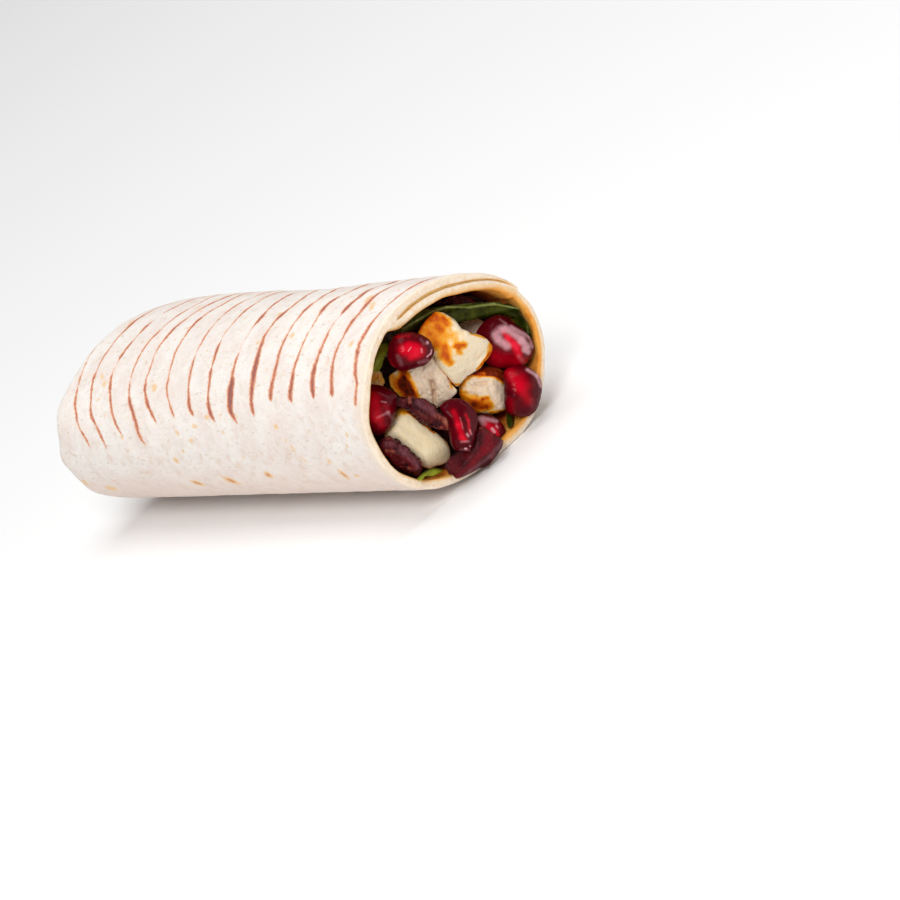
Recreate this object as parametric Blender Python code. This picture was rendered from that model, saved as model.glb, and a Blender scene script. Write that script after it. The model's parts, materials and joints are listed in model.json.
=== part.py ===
"""Half of a rolled halloumi wrap, cut straight across.

A flour tortilla is wound 1.2 times round its filling and folded shut at the far end. The filling that shows
at the cut is diced halloumi, pomegranate seeds, beetroot and spinach, in front of the packed core.

Frame: X runs along the roll with the cut end towards +X, +Z is up, and the wrap lies on its flattened
underside at z = 0. "Back" is always the distance behind the cut face, towards -X.
"""
import math

import bmesh
import bpy
import numpy as np
from mathutils import Matrix, Vector

MM = 0.001

# The roll.
LENGTH = 117.8 * MM              # from the cut face to the folded end
CUT_X = 56.5 * MM                # where the cut face stands
CUT_HALF_WIDTH = 22.85 * MM
CUT_HALF_HEIGHT = 18.2 * MM
FAR_WIDENING = 1.12              # the folded end is pressed wider and flatter than the cut end
FAR_FLATTENING = 0.94            # of the upper half; the underside rests level along the roll
FAR_SAG = 0.985
REST_DEPTH = 17.4 * MM           # from the roll's axis down to the flattened underside
AXIS = Vector((CUT_X, 0.17 * MM, REST_DEPTH))
DOME = 8.9 * MM                  # depth of the rounded, folded end
DOME_POWER = 2.2
TUBE = LENGTH - DOME
SWELL = 0.3 * MM                 # how far the filling makes the sheet bulge
# How the hand-rolled cut end departs from an oval: (waves round the roll, height, phase in degrees).
OUT_OF_ROUND = ((3, 0.41 * MM, -80.0), (4, 0.21 * MM, 88.0), (5, 0.2 * MM, 20.0))

# The sheet and its overlap. Angles in degrees, anticlockwise from +Y as seen from the cut end.
SHEET = 1.8 * MM
LAYER_GAP = 0.3 * MM
FLAP_END = 15.0                  # the outer end of the sheet
INNER_END = 101.0                # the end of the sheet inside the roll
FLAP_STEP = 0.5 * MM             # the pressed edge of the flap
FLAP_TAPER = 50.0                # the flap reaches its full thickness over this angle
STEP_HALF_ANGLE = 0.8            # a step in the wall is this steep
STEP_MARGIN = 2.5                # the filling keeps this far from a step
GROOVE_DEPTH = 5.0 * MM          # how far the gap between the layers goes in from the cut
CUT_RAGGED = 0.25 * MM
TUCK_HEIGHT = 1.5 * MM           # the folded end's spiral fold
TUCK_TURN = 200.0
TUCK_EDGE = 0.12                 # the share of a turn over which the fold drops
COLUMN_ANGLE = 5

# The filling.
CLEARANCE = 0.3 * MM             # between one piece and the next
CORE_BACK = 9.0 * MM             # the packed core starts here, or deeper where a piece sits in it
CORE_RELIEF = 0.6 * MM
PIECE_REACH = 2.6 * MM           # the core gives way this far round a piece
RIM_BULGE = 1.5                  # a piece spreads this much over the rim for each step out of the cut
BLOCK_CUTS = 4
SEED_CUTS = 5
LEAF_THICKNESS = 0.45 * MM
LEAF_CELL = 0.8 * MM             # the size of a leaf's faces, where it has between 2 and 4 across
LEAF_WAVE = 0.1                  # how high its waves stand, as a share of its width

# The eye that looks into the cut. Pieces are placed by what it sees: right, up, and back from the cut.
SIGHT_TURN = math.radians(60.4)
SIGHT_RISE = math.radians(19.0)
SIGHT_ROLL = math.radians(-31.9)

# Each block: middle (right, up, back), size (across, along, deep) in mm, then pitch, yaw and spin in degrees.
HALLOUMI = (
    ((0.0, 5.8, 3.4), (8.8, 9.4, 9.0), (0, 45, -37)),
    ((-5.6, -0.9, 6.4), (9.2, 7.4, 9.5), (0, 25, -36)),
    ((5.3, -1.9, 5.6), (7.6, 7.4, 8.4), (24, 0, -8)),
    ((-7.1, -10.6, 5.7), (12.3, 5.9, 8.0), (0, 10, -35)),
    ((-13.4, 0.9, 9.6), (3.7, 3.8, 4.0), (0, 20, 10)),
    ((2.3, 9.7, 11.2), (5.2, 3.5, 4.0), (10, 0, -20)),
)
SEEDS = (
    ((-8.1, 5.1, 0.6), (8.6, 7.2, 7.6), (0, 15, -8)),
    ((-14.4, -5.3, 4.8), (8.0, 9.0, 8.0), (0, 20, 10)),
    ((9.9, 7.5, 2.6), (12.6, 9.0, 8.6), (0, 0, -40)),
    ((13.1, -2.4, -0.1), (7.9, 9.2, 7.3), (0, 0, 5)),
    ((0.8, -8.4, -1.3), (6.8, 9.8, 6.4), (-15, 0, 14)),
    ((6.9, -9.1, 2.8), (5.4, 4.8, 4.4), (0, 0, 0)),
)
BEETROOT = (
    ((-6.5, -5.9, 1.3), (9.8, 2.4, 3.0), (0, 4, -35)),
    ((-10.0, -14.1, 3.0), (9.6, 2.5, 4.2), (0, 10, -38)),
    ((4.0, -13.9, -0.9), (11.4, 5.2, 2.3), (-20, 14, 52)),
    ((0.0, 15.2, 8.8), (8.8, 1.4, 4.0), (0, 0, 4)),
    ((-2.3, -9.6, 9.6), (3.2, 3.0, 3.6), (0, 0, -30)),
)
# Each leaf: points along its middle and the way across it (right, up, back), both in mm, then its width.
SPINACH = (
    (((-10.8, 8.4, 5.5), (-4.5, 11.6, 7.0), (4.0, 12.9, 6.7), (12.6, 13.6, 1.4)), (0.0, -1.0, 0.4), 3.4),
    (((9.4, 12.4, 6.0), (12.4, 11.4, 4.8), (14.0, 8.8, 4.4), (14.7, 5.4, 4.6), (14.5, 2.0, 5.2)),
     (-0.8, -0.5, 0.7), 3.2),
    (((-12.2, 7.0, 6.0), (-13.9, 4.4, 6.0), (-14.6, 1.4, 6.5)), (1.0, 0.2, 0.6), 2.6),
    (((-2.4, -17.1, 2.2), (-4.8, -17.5, 0.6), (-6.6, -18.8, -0.9)), (0.2, 1.0, 0.4), 1.8),
    (((10.2, -6.0, 3.9), (10.4, -7.4, 2.4), (10.3, -8.8, 0.9)), (1.0, 0.0, 0.0), 1.4),
)


def smooth_step(share):
    """Ease from 0 to 1 as share goes from 0 to 1."""
    share = np.clip(share, 0.0, 1.0)
    return share * share * (3.0 - 2.0 * share)


def clear_scene():
    for thing in list(bpy.data.objects):
        bpy.data.objects.remove(thing, do_unlink=True)


def material(name, colour, roughness):
    """A plain Principled finish; food is never metallic."""
    finish = bpy.data.materials.new(name)
    finish.use_nodes = True
    shader = finish.node_tree.nodes["Principled BSDF"]
    shader.inputs["Base Color"].default_value = (*colour, 1.0)
    shader.inputs["Roughness"].default_value = roughness
    shader.inputs["Metallic"].default_value = 0.0
    return finish


def add_object(name, mesh, finish):
    """Link the mesh as an object, shaded smooth but for its cut edges."""
    mesh.materials.append(finish)
    mesh.shade_smooth()
    mesh.set_sharp_from_angle(angle=math.radians(40))
    thing = bpy.data.objects.new(name, mesh)
    bpy.context.collection.objects.link(thing)
    return thing


def closed_mesh(name, points, faces):
    """A mesh from points and faces, triangulated, with every face turned outwards."""
    mesh = bpy.data.meshes.new(name)
    mesh.from_pydata([tuple(point) for point in points], [], faces)
    shell = bmesh.new()
    shell.from_mesh(mesh)
    bmesh.ops.triangulate(shell, faces=shell.faces[:])
    bmesh.ops.recalc_face_normals(shell, faces=shell.faces[:])
    shell.to_mesh(mesh)
    shell.free()
    return mesh


# ---------------------------------------------------------------------------------------------------------
# The tortilla


def in_overlap(angle):
    """True where two layers of the sheet lie over each other."""
    return FLAP_END < angle < INNER_END


def skin_offset(angle, share):
    """How far the outer skin stands off the mean oval: it climbs round the roll and drops at the flap, and
    near the cut it is out of round."""
    turned = ((FLAP_END - angle) % 360.0) / 360.0
    uneven = sum(height * math.cos(math.radians(waves * angle - phase)) for waves, height, phase in OUT_OF_ROUND)
    return FLAP_STEP * (turned - 0.5) + uneven * (1.0 - share)


def flap_thickness(angle):
    """The outer layer's thickness where it overlaps: thin at the pressed edge, then the full sheet."""
    return FLAP_STEP + (SHEET - FLAP_STEP) * smooth_step((angle - FLAP_END) / FLAP_TAPER)


def wall_thickness(angle):
    """From the outer skin to the inner surface: one layer, or two with the gap between."""
    if not in_overlap(angle):
        return SHEET
    return flap_thickness(angle) + LAYER_GAP + SHEET


def bulge(angle, back):
    """The filling's gentle lumps in the skin, as two crossed waves; the pressed underside stays flat."""
    turn = math.radians(angle)
    wave = math.sin(3.0 * turn + 55.0 * back) + 0.7 * math.sin(2.0 * turn - 95.0 * back + 1.3)
    return SWELL * wave * smooth_step(0.5 + 0.8 * math.sin(turn))


def half_sizes(sine, share):
    """Half width and half height of the mean oval, share of the way to the folded end."""
    far_height = FAR_SAG + (FAR_FLATTENING - FAR_SAG) * smooth_step(0.5 + 0.6 * sine)
    return (CUT_HALF_WIDTH * (1.0 + (FAR_WIDENING - 1.0) * share),
            CUT_HALF_HEIGHT * (1.0 + (far_height - 1.0) * share))


def section_point(angle, back, depth):
    """A point of the roll's section: on the mean oval, moved in by depth along its normal, and held above
    the flattened underside."""
    share = min(back, TUBE) / TUBE
    turn = math.radians(angle)
    half_width, half_height = half_sizes(math.sin(turn), share)
    normal = np.array([math.cos(turn) / half_width, math.sin(turn) / half_height])
    normal /= np.linalg.norm(normal)
    reach = skin_offset(angle, share) + bulge(angle, back) - depth
    point = np.array([half_width * math.cos(turn), half_height * math.sin(turn)]) + reach * normal
    point[1] = max(point[1], -(REST_DEPTH - depth))
    return point


def place(section, back):
    """A section point at its distance behind the cut, in the object's frame."""
    return (AXIS.x - back, AXIS.y + section[0], AXIS.z + section[1])


def rim_back(angle):
    """The knife leaves the cut edge slightly ragged."""
    turn = math.radians(angle)
    return CUT_RAGGED * (1.0 + 0.6 * math.sin(3.0 * turn + 1.0) + 0.4 * math.sin(7.0 * turn))


def tuck(angle, scale):
    """The folded end's relief: a snail-shell ramp that drops at its spiral fold, flat at pole and edge."""
    phase = ((angle - 70.0 - TUCK_TURN * (1.0 - scale)) % 360.0) / 360.0
    ramp = (1.0 - phase) * smooth_step(phase / TUCK_EDGE)
    fade = smooth_step((1.0 - scale) / 0.25) * smooth_step(scale / 0.3)
    return TUCK_HEIGHT * ramp * fade


def dome_rings(start, depth, steps):
    """(back, scale) of each ring of a rounded end, a superellipse in profile, without its pole."""
    rings = []
    for step in range(1, steps):
        turn = 0.5 * math.pi * step / steps
        rings.append((start + depth * math.sin(turn) ** (2.0 / DOME_POWER), math.cos(turn) ** (2.0 / DOME_POWER)))
    return rings


def column_angles():
    """Every COLUMN_ANGLE degrees round the roll, with a close pair at each end of the sheet."""
    angles = [float(angle) for angle in range(0, 360, COLUMN_ANGLE)]
    for end in (FLAP_END, INNER_END):
        angles = [angle for angle in angles if abs(angle - end) > 0.4 * COLUMN_ANGLE]
        angles += [end - STEP_HALF_ANGLE, end + STEP_HALF_ANGLE]
    return sorted(angles)


def outer_column(angle):
    """The outer skin at one angle, from beside the far pole to the cut edge."""
    column = []
    for back, scale in reversed(dome_rings(TUBE, DOME, 12)):
        section = section_point(angle, TUBE, 0.0) * scale
        column.append(place(section, back - tuck(angle, scale)))
    for step in range(12):
        back = TUBE * (1.0 - step / 12)
        column.append(place(section_point(angle, back, 0.0), back))
    column.append(place(section_point(angle, 0.0, 0.0), rim_back(angle)))
    return column


def inner_column(angle):
    """The inner surface at one angle, from the cut edge to beside the inner pole."""
    depth = wall_thickness(angle)
    column = [place(section_point(angle, 0.0, depth), rim_back(angle))]
    for back in (4 * MM, 9 * MM, 16 * MM, 40 * MM, 75 * MM, TUBE - 2 * MM):
        column.append(place(section_point(angle, back, depth), back))
    for back, scale in dome_rings(TUBE - 2 * MM, DOME - 3 * MM, 4):
        column.append(place(section_point(angle, TUBE, depth) * scale, back))
    return column


def groove_column(angle):
    """The gap between the two layers at one angle: down one side from the cut, across, and up the other."""
    near = flap_thickness(angle)
    far = near + LAYER_GAP
    front = rim_back(angle)
    return [
        place(section_point(angle, 0.0, near), front),
        place(section_point(angle, 0.0, near), front + GROOVE_DEPTH),
        place(section_point(angle, 0.0, far), front + GROOVE_DEPTH),
        place(section_point(angle, 0.0, far), front),
    ]


def make_tortilla():
    """One closed skin: out along the outer surface, over the cut edge with the gap between the layers sunk
    into it, and back along the inner surface."""
    angles = column_angles()
    points = [place((0.0, 0.0), LENGTH), place((0.0, 0.0), TUBE + DOME - 5 * MM)]
    columns = []
    for angle in angles:
        outer, inner = outer_column(angle), inner_column(angle)
        groove = groove_column(angle) if FLAP_END + 3.0 < angle < INNER_END - 2.0 else []
        first = len(points)
        points += outer + groove + inner
        ids = list(range(first, len(points)))
        columns.append((ids[:len(outer)], ids[len(outer):len(outer) + len(groove)], ids[-len(inner):]))
    faces = []
    for number, left in enumerate(columns):
        right = columns[(number + 1) % len(columns)]
        faces.append((0, right[0][0], left[0][0]))
        faces.append((1, left[2][-1], right[2][-1]))
        for run in (0, 2):
            for near in range(len(left[run]) - 1):
                faces.append((left[run][near], right[run][near], right[run][near + 1], left[run][near + 1]))
        faces += rim_faces(left, right)
    return closed_mesh("tortilla", points, faces)


def rim_faces(left, right):
    """The cut face between two columns, with the groove's walls where both have it and its end where one
    has it."""
    outer_edge, inner_edge = (left[0][-1], right[0][-1]), (left[2][0], right[2][0])
    if left[1] and right[1]:
        strip_left = [outer_edge[0]] + left[1] + [inner_edge[0]]
        strip_right = [outer_edge[1]] + right[1] + [inner_edge[1]]
        pairs = zip(strip_left, strip_right, strip_right[1:], strip_left[1:])
        return [tuple(face) for face in pairs]
    if left[1]:
        near, far = left[1][0], left[1][3]
        return [(outer_edge[0], outer_edge[1], near), (near, outer_edge[1], inner_edge[1], far),
                (far, inner_edge[1], inner_edge[0]), tuple(left[1])]
    if right[1]:
        near, far = right[1][0], right[1][3]
        return [(outer_edge[0], outer_edge[1], near), (outer_edge[0], near, far, inner_edge[0]),
                (inner_edge[0], far, inner_edge[1]), tuple(reversed(right[1]))]
    return [(outer_edge[0], outer_edge[1], inner_edge[1], inner_edge[0])]


# ---------------------------------------------------------------------------------------------------------
# The filling


def core_depth(angle):
    """The core keeps clear of the wall, and of the step where the sheet's inner end stands into the roll."""
    near = [wall_thickness(angle + shift) for shift in (-STEP_MARGIN, 0.0, STEP_MARGIN)]
    return max(near) + 1.5 * CLEARANCE


def core_angles():
    """Every second column of the tortilla, and all those near the sheet's inner end."""
    angles = column_angles()
    return [angle for number, angle in enumerate(angles)
            if number % 2 == 0 or abs(angle - INNER_END) < 2 * COLUMN_ANGLE]


def front_back(section, pieces):
    """How far behind the cut the core's front stands: CORE_BACK, or behind the pieces over that spot."""
    away = np.hypot(pieces[:, 1] - AXIS.y - section[0], pieces[:, 2] - AXIS.z - section[1])
    backs = AXIS.x - pieces[away < PIECE_REACH, 0]
    return max([CORE_BACK, *(backs + 2.0 * CLEARANCE)])


def make_core(pieces):
    """The packed filling behind the pieces that show: a plug that follows the wall, and whose front takes
    the pieces' backs. Pieces is the array of their points."""
    pole_back = TUBE + DOME - 6 * MM
    points = [place((0.0, 0.0), pole_back), place((0.0, 0.0), front_back((0.0, 0.0), pieces))]
    columns = []
    for angle in core_angles():
        depth = core_depth(angle)
        column = [place(section_point(angle, TUBE, depth) * scale, back)
                  for back, scale in reversed(dome_rings(TUBE - 4 * MM, DOME - 2.5 * MM, 4))]
        for back in (TUBE - 4 * MM, 70 * MM, 35 * MM):
            column.append(place(section_point(angle, back, depth), back))
        for scale in (1.0, 0.9, 0.78, 0.66, 0.54, 0.42, 0.3, 0.16):
            lump = CORE_RELIEF * (1.0 + math.sin(math.radians(4.0 * angle) + 9.0 * scale)) * (1.0 - scale)
            section = section_point(angle, CORE_BACK, depth) * scale
            column.append(place(section, front_back(section, pieces) + lump))
        first = len(points)
        points += column
        columns.append(list(range(first, len(points))))
    faces = []
    for number, left in enumerate(columns):
        right = columns[(number + 1) % len(columns)]
        faces.append((0, right[0], left[0]))
        faces.append((1, left[-1], right[-1]))
        for near in range(len(left) - 1):
            faces.append((left[near], right[near], right[near + 1], left[near + 1]))
    return closed_mesh("filling_core", points, faces)


def sight_axes():
    """Right, up and towards the eye that looks into the cut, as the columns of a matrix."""
    toward = Vector((math.sin(SIGHT_TURN) * math.cos(SIGHT_RISE), -math.cos(SIGHT_TURN) * math.cos(SIGHT_RISE),
                     math.sin(SIGHT_RISE)))
    level = Vector((math.cos(SIGHT_TURN), math.sin(SIGHT_TURN), 0.0))
    upright = toward.cross(level)
    right = level * math.cos(SIGHT_ROLL) + upright * math.sin(SIGHT_ROLL)
    return Matrix((right, toward.cross(right), toward)).transposed()


def seen(spot):
    """The point that shows at spot's right and up, in mm, and lies its third number behind the cut."""
    axes = sight_axes()
    right, up, back = spot
    toward = (-back - right * axes[0][0] - up * axes[0][1]) / axes[0][2]
    return AXIS + axes @ Vector((right, up, toward)) * MM


def block_shell(cuts):
    """A cube of half size 1, each side split into a grid, and its points as an array."""
    shell = bmesh.new()
    bmesh.ops.create_cube(shell, size=2.0)
    bmesh.ops.subdivide_edges(shell, edges=shell.edges[:], cuts=cuts, use_grid_fill=True)
    return shell, np.array([vert.co[:] for vert in shell.verts])


def hold_inside(point, margin=0.0):
    """Press a point of the filling in from the wall. In front of the cut it may bulge over the rim, but it
    stays above what the wrap rests on."""
    back = AXIS.x - point.x
    ahead = max(-back - CLEARANCE, 0.0)
    across, height = point.y - AXIS.y, point.z - AXIS.z
    half_width, half_height = half_sizes(math.copysign(1.0, height), max(back, 0.0) / TUBE)
    angle = math.degrees(math.atan2(height / half_height, across / half_width)) % 360.0
    depth = core_depth(angle) + margin
    limit = np.linalg.norm(section_point(angle, max(back, 0.0), depth)) + RIM_BULGE * ahead
    squeeze = min(1.0, limit / max(math.hypot(across, height), CLEARANCE))
    held_height = max(AXIS.z + height * squeeze, CLEARANCE)
    return Vector((point.x, AXIS.y + across * squeeze, held_height))


def roughness_of(points, seed, waves):
    """Lumps between -1 and 1: the mean of a few sine waves in random directions."""
    draw = np.random.default_rng(seed)
    total = np.zeros(len(points))
    for _ in range(waves):
        direction = draw.normal(size=3) * 3.0
        total += np.sin(points @ direction + draw.uniform(0.0, 2.0 * math.pi))
    return total / waves


def block_form(points, size, seed, power, lumps):
    """A rounded block: each point is drawn onto a superellipsoid of the given power, then made uneven."""
    norm = (np.abs(points) ** power).sum(axis=1) ** (1.0 / power)
    points = points / norm[:, None]
    uneven = 1.0 + lumps * roughness_of(points, seed, 5)
    return points * uneven[:, None] * np.array(size) * 0.5 * MM


def seed_form(points, size, seed):
    """A pomegranate seed: a rounded many-sided body, its reach in each direction the softened least of the
    distances to its facets, and narrower at one end."""
    draw = np.random.default_rng(seed)
    direction = points / np.linalg.norm(points, axis=1)[:, None]
    facets = draw.normal(size=(11, 3))
    facets /= np.linalg.norm(facets, axis=1)[:, None]
    heights = draw.uniform(0.80, 0.95, size=11)
    sides = np.clip(direction @ (facets / heights[:, None]).T, 0.0, None)
    reach = (1.0 + (sides ** 9).sum(axis=1)) ** (-1.0 / 9.0)
    form = direction * reach[:, None]
    narrowing = 1.0 - 0.16 * form[:, 1]
    form[:, 0] *= narrowing
    form[:, 2] *= narrowing
    return form * np.array(size) * 0.5 * MM


def add_piece(name, shell, form, spot, turns, finish):
    """Give the shell its form, and stand it at the spot the eye sees, turned in the eye's own axes."""
    pitch, yaw, spin = (math.radians(turn) for turn in turns)
    turned = Matrix.Rotation(spin, 3, "Z") @ Matrix.Rotation(yaw, 3, "Y") @ Matrix.Rotation(pitch, 3, "X")
    stand = Matrix.Translation(seen(spot)) @ (sight_axes() @ turned).to_4x4()
    for vert, point in zip(shell.verts, form):
        vert.co = stand.inverted() @ hold_inside(stand @ Vector(point))
    bmesh.ops.triangulate(shell, faces=shell.faces[:])
    mesh = bpy.data.meshes.new(name)
    shell.to_mesh(mesh)
    shell.free()
    thing = add_object(name, mesh, finish)
    thing.rotation_euler = stand.to_euler()
    thing.location = stand.translation


def add_halloumi(finish):
    for number, (spot, size, turns) in enumerate(HALLOUMI, start=1):
        shell, points = block_shell(BLOCK_CUTS)
        form = block_form(points, size, 20 + number, 9.0, 0.035)
        add_piece(f"halloumi_{number}", shell, form, spot, turns, finish)


def add_seeds(finish):
    for number, (spot, size, turns) in enumerate(SEEDS, start=1):
        shell, points = block_shell(SEED_CUTS)
        form = seed_form(points, size, 40 + number)
        add_piece(f"pomegranate_seed_{number}", shell, form, spot, turns, finish)


def add_beetroot(finish):
    for number, (spot, size, turns) in enumerate(BEETROOT, start=1):
        shell, points = block_shell(BLOCK_CUTS)
        form = block_form(points, size, 60 + number, 6.0, 0.07)
        add_piece(f"beetroot_{number}", shell, form, spot, turns, finish)


def curve_through(knots, shares):
    """Points of the smooth curve through the knots: a polynomial in the share of the way along."""
    knots = np.array(knots)
    at = np.linspace(0.0, 1.0, len(knots))
    weights = np.polyfit(at, knots, len(knots) - 1)
    return np.stack([np.polyval(weights[:, axis], shares) for axis in range(3)], axis=1)


def leaf_mesh(name, knots, across, width):
    """A thin wavy leaf on a grid: along its middle line and across it, pointed at both ends; the two faces
    lie half the thickness to each side and are split into triangles alike."""
    width *= MM
    ends = [tuple(seen(knot)) for knot in knots]
    length = sum(math.dist(here, following) for here, following in zip(ends, ends[1:]))
    long_steps = int(np.clip(round(length / LEAF_CELL), 3, 14))
    wide_steps = int(np.clip(round(width / LEAF_CELL), 2, 4))
    along = np.linspace(0.0, 1.0, long_steps + 1)
    middle = curve_through(ends, along)
    forward = np.gradient(middle, axis=0)
    forward /= np.linalg.norm(forward, axis=1)[:, None]
    side = np.array(sight_axes()) @ np.array([across[0], across[1], -across[2]])
    side = side - (forward @ side)[:, None] * forward
    side /= np.linalg.norm(side, axis=1)[:, None]
    normal = np.cross(forward, side)
    outline = 0.22 + 0.78 * np.sin(math.pi * (0.06 + 0.88 * along)) ** 0.7
    rows = []
    for step in range(wide_steps + 1):
        reach = (step / wide_steps - 0.5) * width * outline
        wave = LEAF_WAVE * width * np.sin(9.0 * along + 6.8 * step / wide_steps)
        row = middle + side * reach[:, None] + normal * wave[:, None]
        rows.append([tuple(hold_inside(Vector(point), LEAF_THICKNESS)) for point in row])
    sheet = np.array(rows)
    normal = np.cross(np.gradient(sheet, axis=0), np.gradient(sheet, axis=1))
    normal *= 0.5 * LEAF_THICKNESS / np.linalg.norm(normal, axis=2)[:, :, None]
    points = np.concatenate([(sheet + normal).reshape(-1, 3), (sheet - normal).reshape(-1, 3)])
    count = (long_steps + 1) * (wide_steps + 1)
    grid = np.arange(count).reshape(wide_steps + 1, long_steps + 1)
    faces = []
    for row in range(wide_steps):
        for step in range(long_steps):
            a, b = int(grid[row, step]), int(grid[row, step + 1])
            c, d = int(grid[row + 1, step + 1]), int(grid[row + 1, step])
            faces += [(a, b, c), (a, c, d)]
            faces += [(count + c, count + b, count + a), (count + d, count + c, count + a)]
    border = [*grid[0, :-1], *grid[:-1, -1], *grid[-1, :0:-1], *grid[:0:-1, 0]]
    for here, following in zip(border, border[1:] + border[:1]):
        here, following = int(here), int(following)
        faces.append((here, count + here, count + following, following))
    return closed_mesh(name, points, faces)


def add_spinach(finish):
    for number, (knots, across, width) in enumerate(SPINACH, start=1):
        name = f"spinach_{number}"
        add_object(name, leaf_mesh(name, knots, across, width), finish)


def piece_points():
    """Every point of the pieces made so far, in the object's frame."""
    bpy.context.view_layer.update()
    return np.array([thing.matrix_world @ vert.co for thing in bpy.data.objects for vert in thing.data.vertices])


def main():
    clear_scene()
    add_halloumi(material("halloumi", (0.87, 0.76, 0.52), 0.45))
    add_seeds(material("pomegranate", (0.42, 0.01, 0.03), 0.15))
    add_beetroot(material("beetroot", (0.12, 0.02, 0.03), 0.4))
    add_spinach(material("spinach", (0.06, 0.14, 0.03), 0.4))
    add_object("filling_core", make_core(piece_points()), material("filling_core", (0.10, 0.03, 0.03), 0.6))
    add_object("tortilla", make_tortilla(), material("tortilla", (0.87, 0.80, 0.72), 0.7))


main()
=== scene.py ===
"""Looks of half a rolled halloumi wrap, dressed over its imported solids.

The roll is drawn again on a fine grid, from the same named sizes and formulas as its solid. Each piece of the
filling is carved from its outline and its front faces, placed by what the eye at the camera sees: right, up
and back. All of it gets the relief and the colours of the food. X runs along the roll with the cut end
towards +X, and +Z is up. "Back" is the distance behind the cut face.
"""

import itertools
import json
import math

import bpy
import numpy as np
from mathutils import Matrix, Vector

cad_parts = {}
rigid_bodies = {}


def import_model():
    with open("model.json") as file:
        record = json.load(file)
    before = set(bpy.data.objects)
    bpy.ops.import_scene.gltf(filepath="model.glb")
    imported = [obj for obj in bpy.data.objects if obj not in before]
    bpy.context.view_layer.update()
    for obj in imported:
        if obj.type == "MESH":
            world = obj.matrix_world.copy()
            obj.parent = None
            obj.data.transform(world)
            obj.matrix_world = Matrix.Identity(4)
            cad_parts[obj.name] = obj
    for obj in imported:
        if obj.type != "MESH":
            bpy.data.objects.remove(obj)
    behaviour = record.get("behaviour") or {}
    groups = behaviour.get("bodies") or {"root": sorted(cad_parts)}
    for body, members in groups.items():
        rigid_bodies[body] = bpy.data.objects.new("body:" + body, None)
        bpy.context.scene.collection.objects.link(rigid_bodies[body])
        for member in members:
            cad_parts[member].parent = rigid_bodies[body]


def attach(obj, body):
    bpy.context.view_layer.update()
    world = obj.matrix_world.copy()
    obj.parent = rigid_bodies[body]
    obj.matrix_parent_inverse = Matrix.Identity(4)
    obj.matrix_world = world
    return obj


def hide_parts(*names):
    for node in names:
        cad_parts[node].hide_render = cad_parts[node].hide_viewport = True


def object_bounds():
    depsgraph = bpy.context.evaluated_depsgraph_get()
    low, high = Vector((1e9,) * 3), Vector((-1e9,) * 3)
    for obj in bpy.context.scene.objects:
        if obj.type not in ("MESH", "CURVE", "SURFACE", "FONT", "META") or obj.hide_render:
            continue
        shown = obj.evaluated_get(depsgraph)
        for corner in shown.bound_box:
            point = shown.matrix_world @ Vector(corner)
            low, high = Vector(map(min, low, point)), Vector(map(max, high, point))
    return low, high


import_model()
cad_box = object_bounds()

MM = 0.001

# The roll, as in the solids.
LENGTH = 117.8 * MM
CUT_X = 56.5 * MM
CUT_HALF_WIDTH = 22.85 * MM
CUT_HALF_HEIGHT = 18.2 * MM
FAR_WIDENING = 1.12
FAR_FLATTENING = 0.94
FAR_SAG = 0.985
REST_DEPTH = 17.4 * MM
AXIS = np.array([CUT_X, 0.17 * MM, REST_DEPTH])
DOME = 8.9 * MM
DOME_POWER = 2.2
TUBE = LENGTH - DOME
SWELL = 0.3 * MM
OUT_OF_ROUND = ((3, 0.41 * MM, -80.0), (4, 0.21 * MM, 88.0), (5, 0.2 * MM, 20.0))

# The sheet and its overlap. Angles in degrees, anticlockwise from +Y as seen from the cut end.
SHEET = 1.8 * MM
LAYER_GAP = 0.3 * MM
FLAP_END = 15.0
INNER_END = 101.0
FLAP_STEP = 0.5 * MM
FLAP_TAPER = 50.0
STEP_HALF_ANGLE = 0.8
TORN_END = 9.0
STEP_MARGIN = 2.5
JUICY_SIDE = 30.0
CUT_RAGGED = 0.25 * MM
FORWARD_EDGE = 1.8 * MM
FORWARD_SIDE = 138.0
FORWARD_SPREAD = 22.0
TUCK_HEIGHT = 1.5 * MM
TUCK_TURN = 200.0
TUCK_EDGE = 0.12
WALL_WAVES = ((5, 0.10 * MM, 60.0), (11, 0.07 * MM, 200.0), (19, 0.05 * MM, 10.0))

# The baked skin's relief stands about a surface that lies this far within the solid's.
SKIN_INSET = 0.1 * MM
SKIN_LUMPS = ((0.12 * MM, 10.0 * MM, 3), (0.07 * MM, 3.0 * MM, 7))     # height, size, seed
CREASE_HEIGHT = 0.07 * MM
RIM_WAVE = 0.16 * MM
PLEATS = 9.0
PLEAT_DEPTH = 0.14 * MM
PLEAT_REACH = 9.0 * MM
RAGGED_RELIEF = 0.14 * MM
CRUMB_RELIEF = 0.07 * MM
WALL_RELIEF = 0.08 * MM
MM_PER_DEGREE = 0.36               # round the sheet

# The grid over the roll, finer at the two ends of the sheet. Angles in degrees, backs of the inner rings.
ANGLE_STEP = 1.25
END_ZONE = 2.6
END_ANGLES = np.linspace(-2.4, 2.4, 13)
DOME_RINGS = 26
TUBE_RINGS = 150
TUBE_END = 1.0 * MM
CAP_RINGS = 6
INNER_BACKS = np.array([1.7, 2.3, 3.2, 4.6, 6.2, 8.0, 10.0, 13.0, 17.0, 24.0, 36.0, 52.0, 70.0, 90.0]) * MM

# The inside of the sheet, closed at the folded end by its own dome.
INNER_TUBE = TUBE - 2.0 * MM
INNER_DOME = DOME - 3.0 * MM
INNER_POLE = TUBE + DOME - 5.0 * MM

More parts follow.
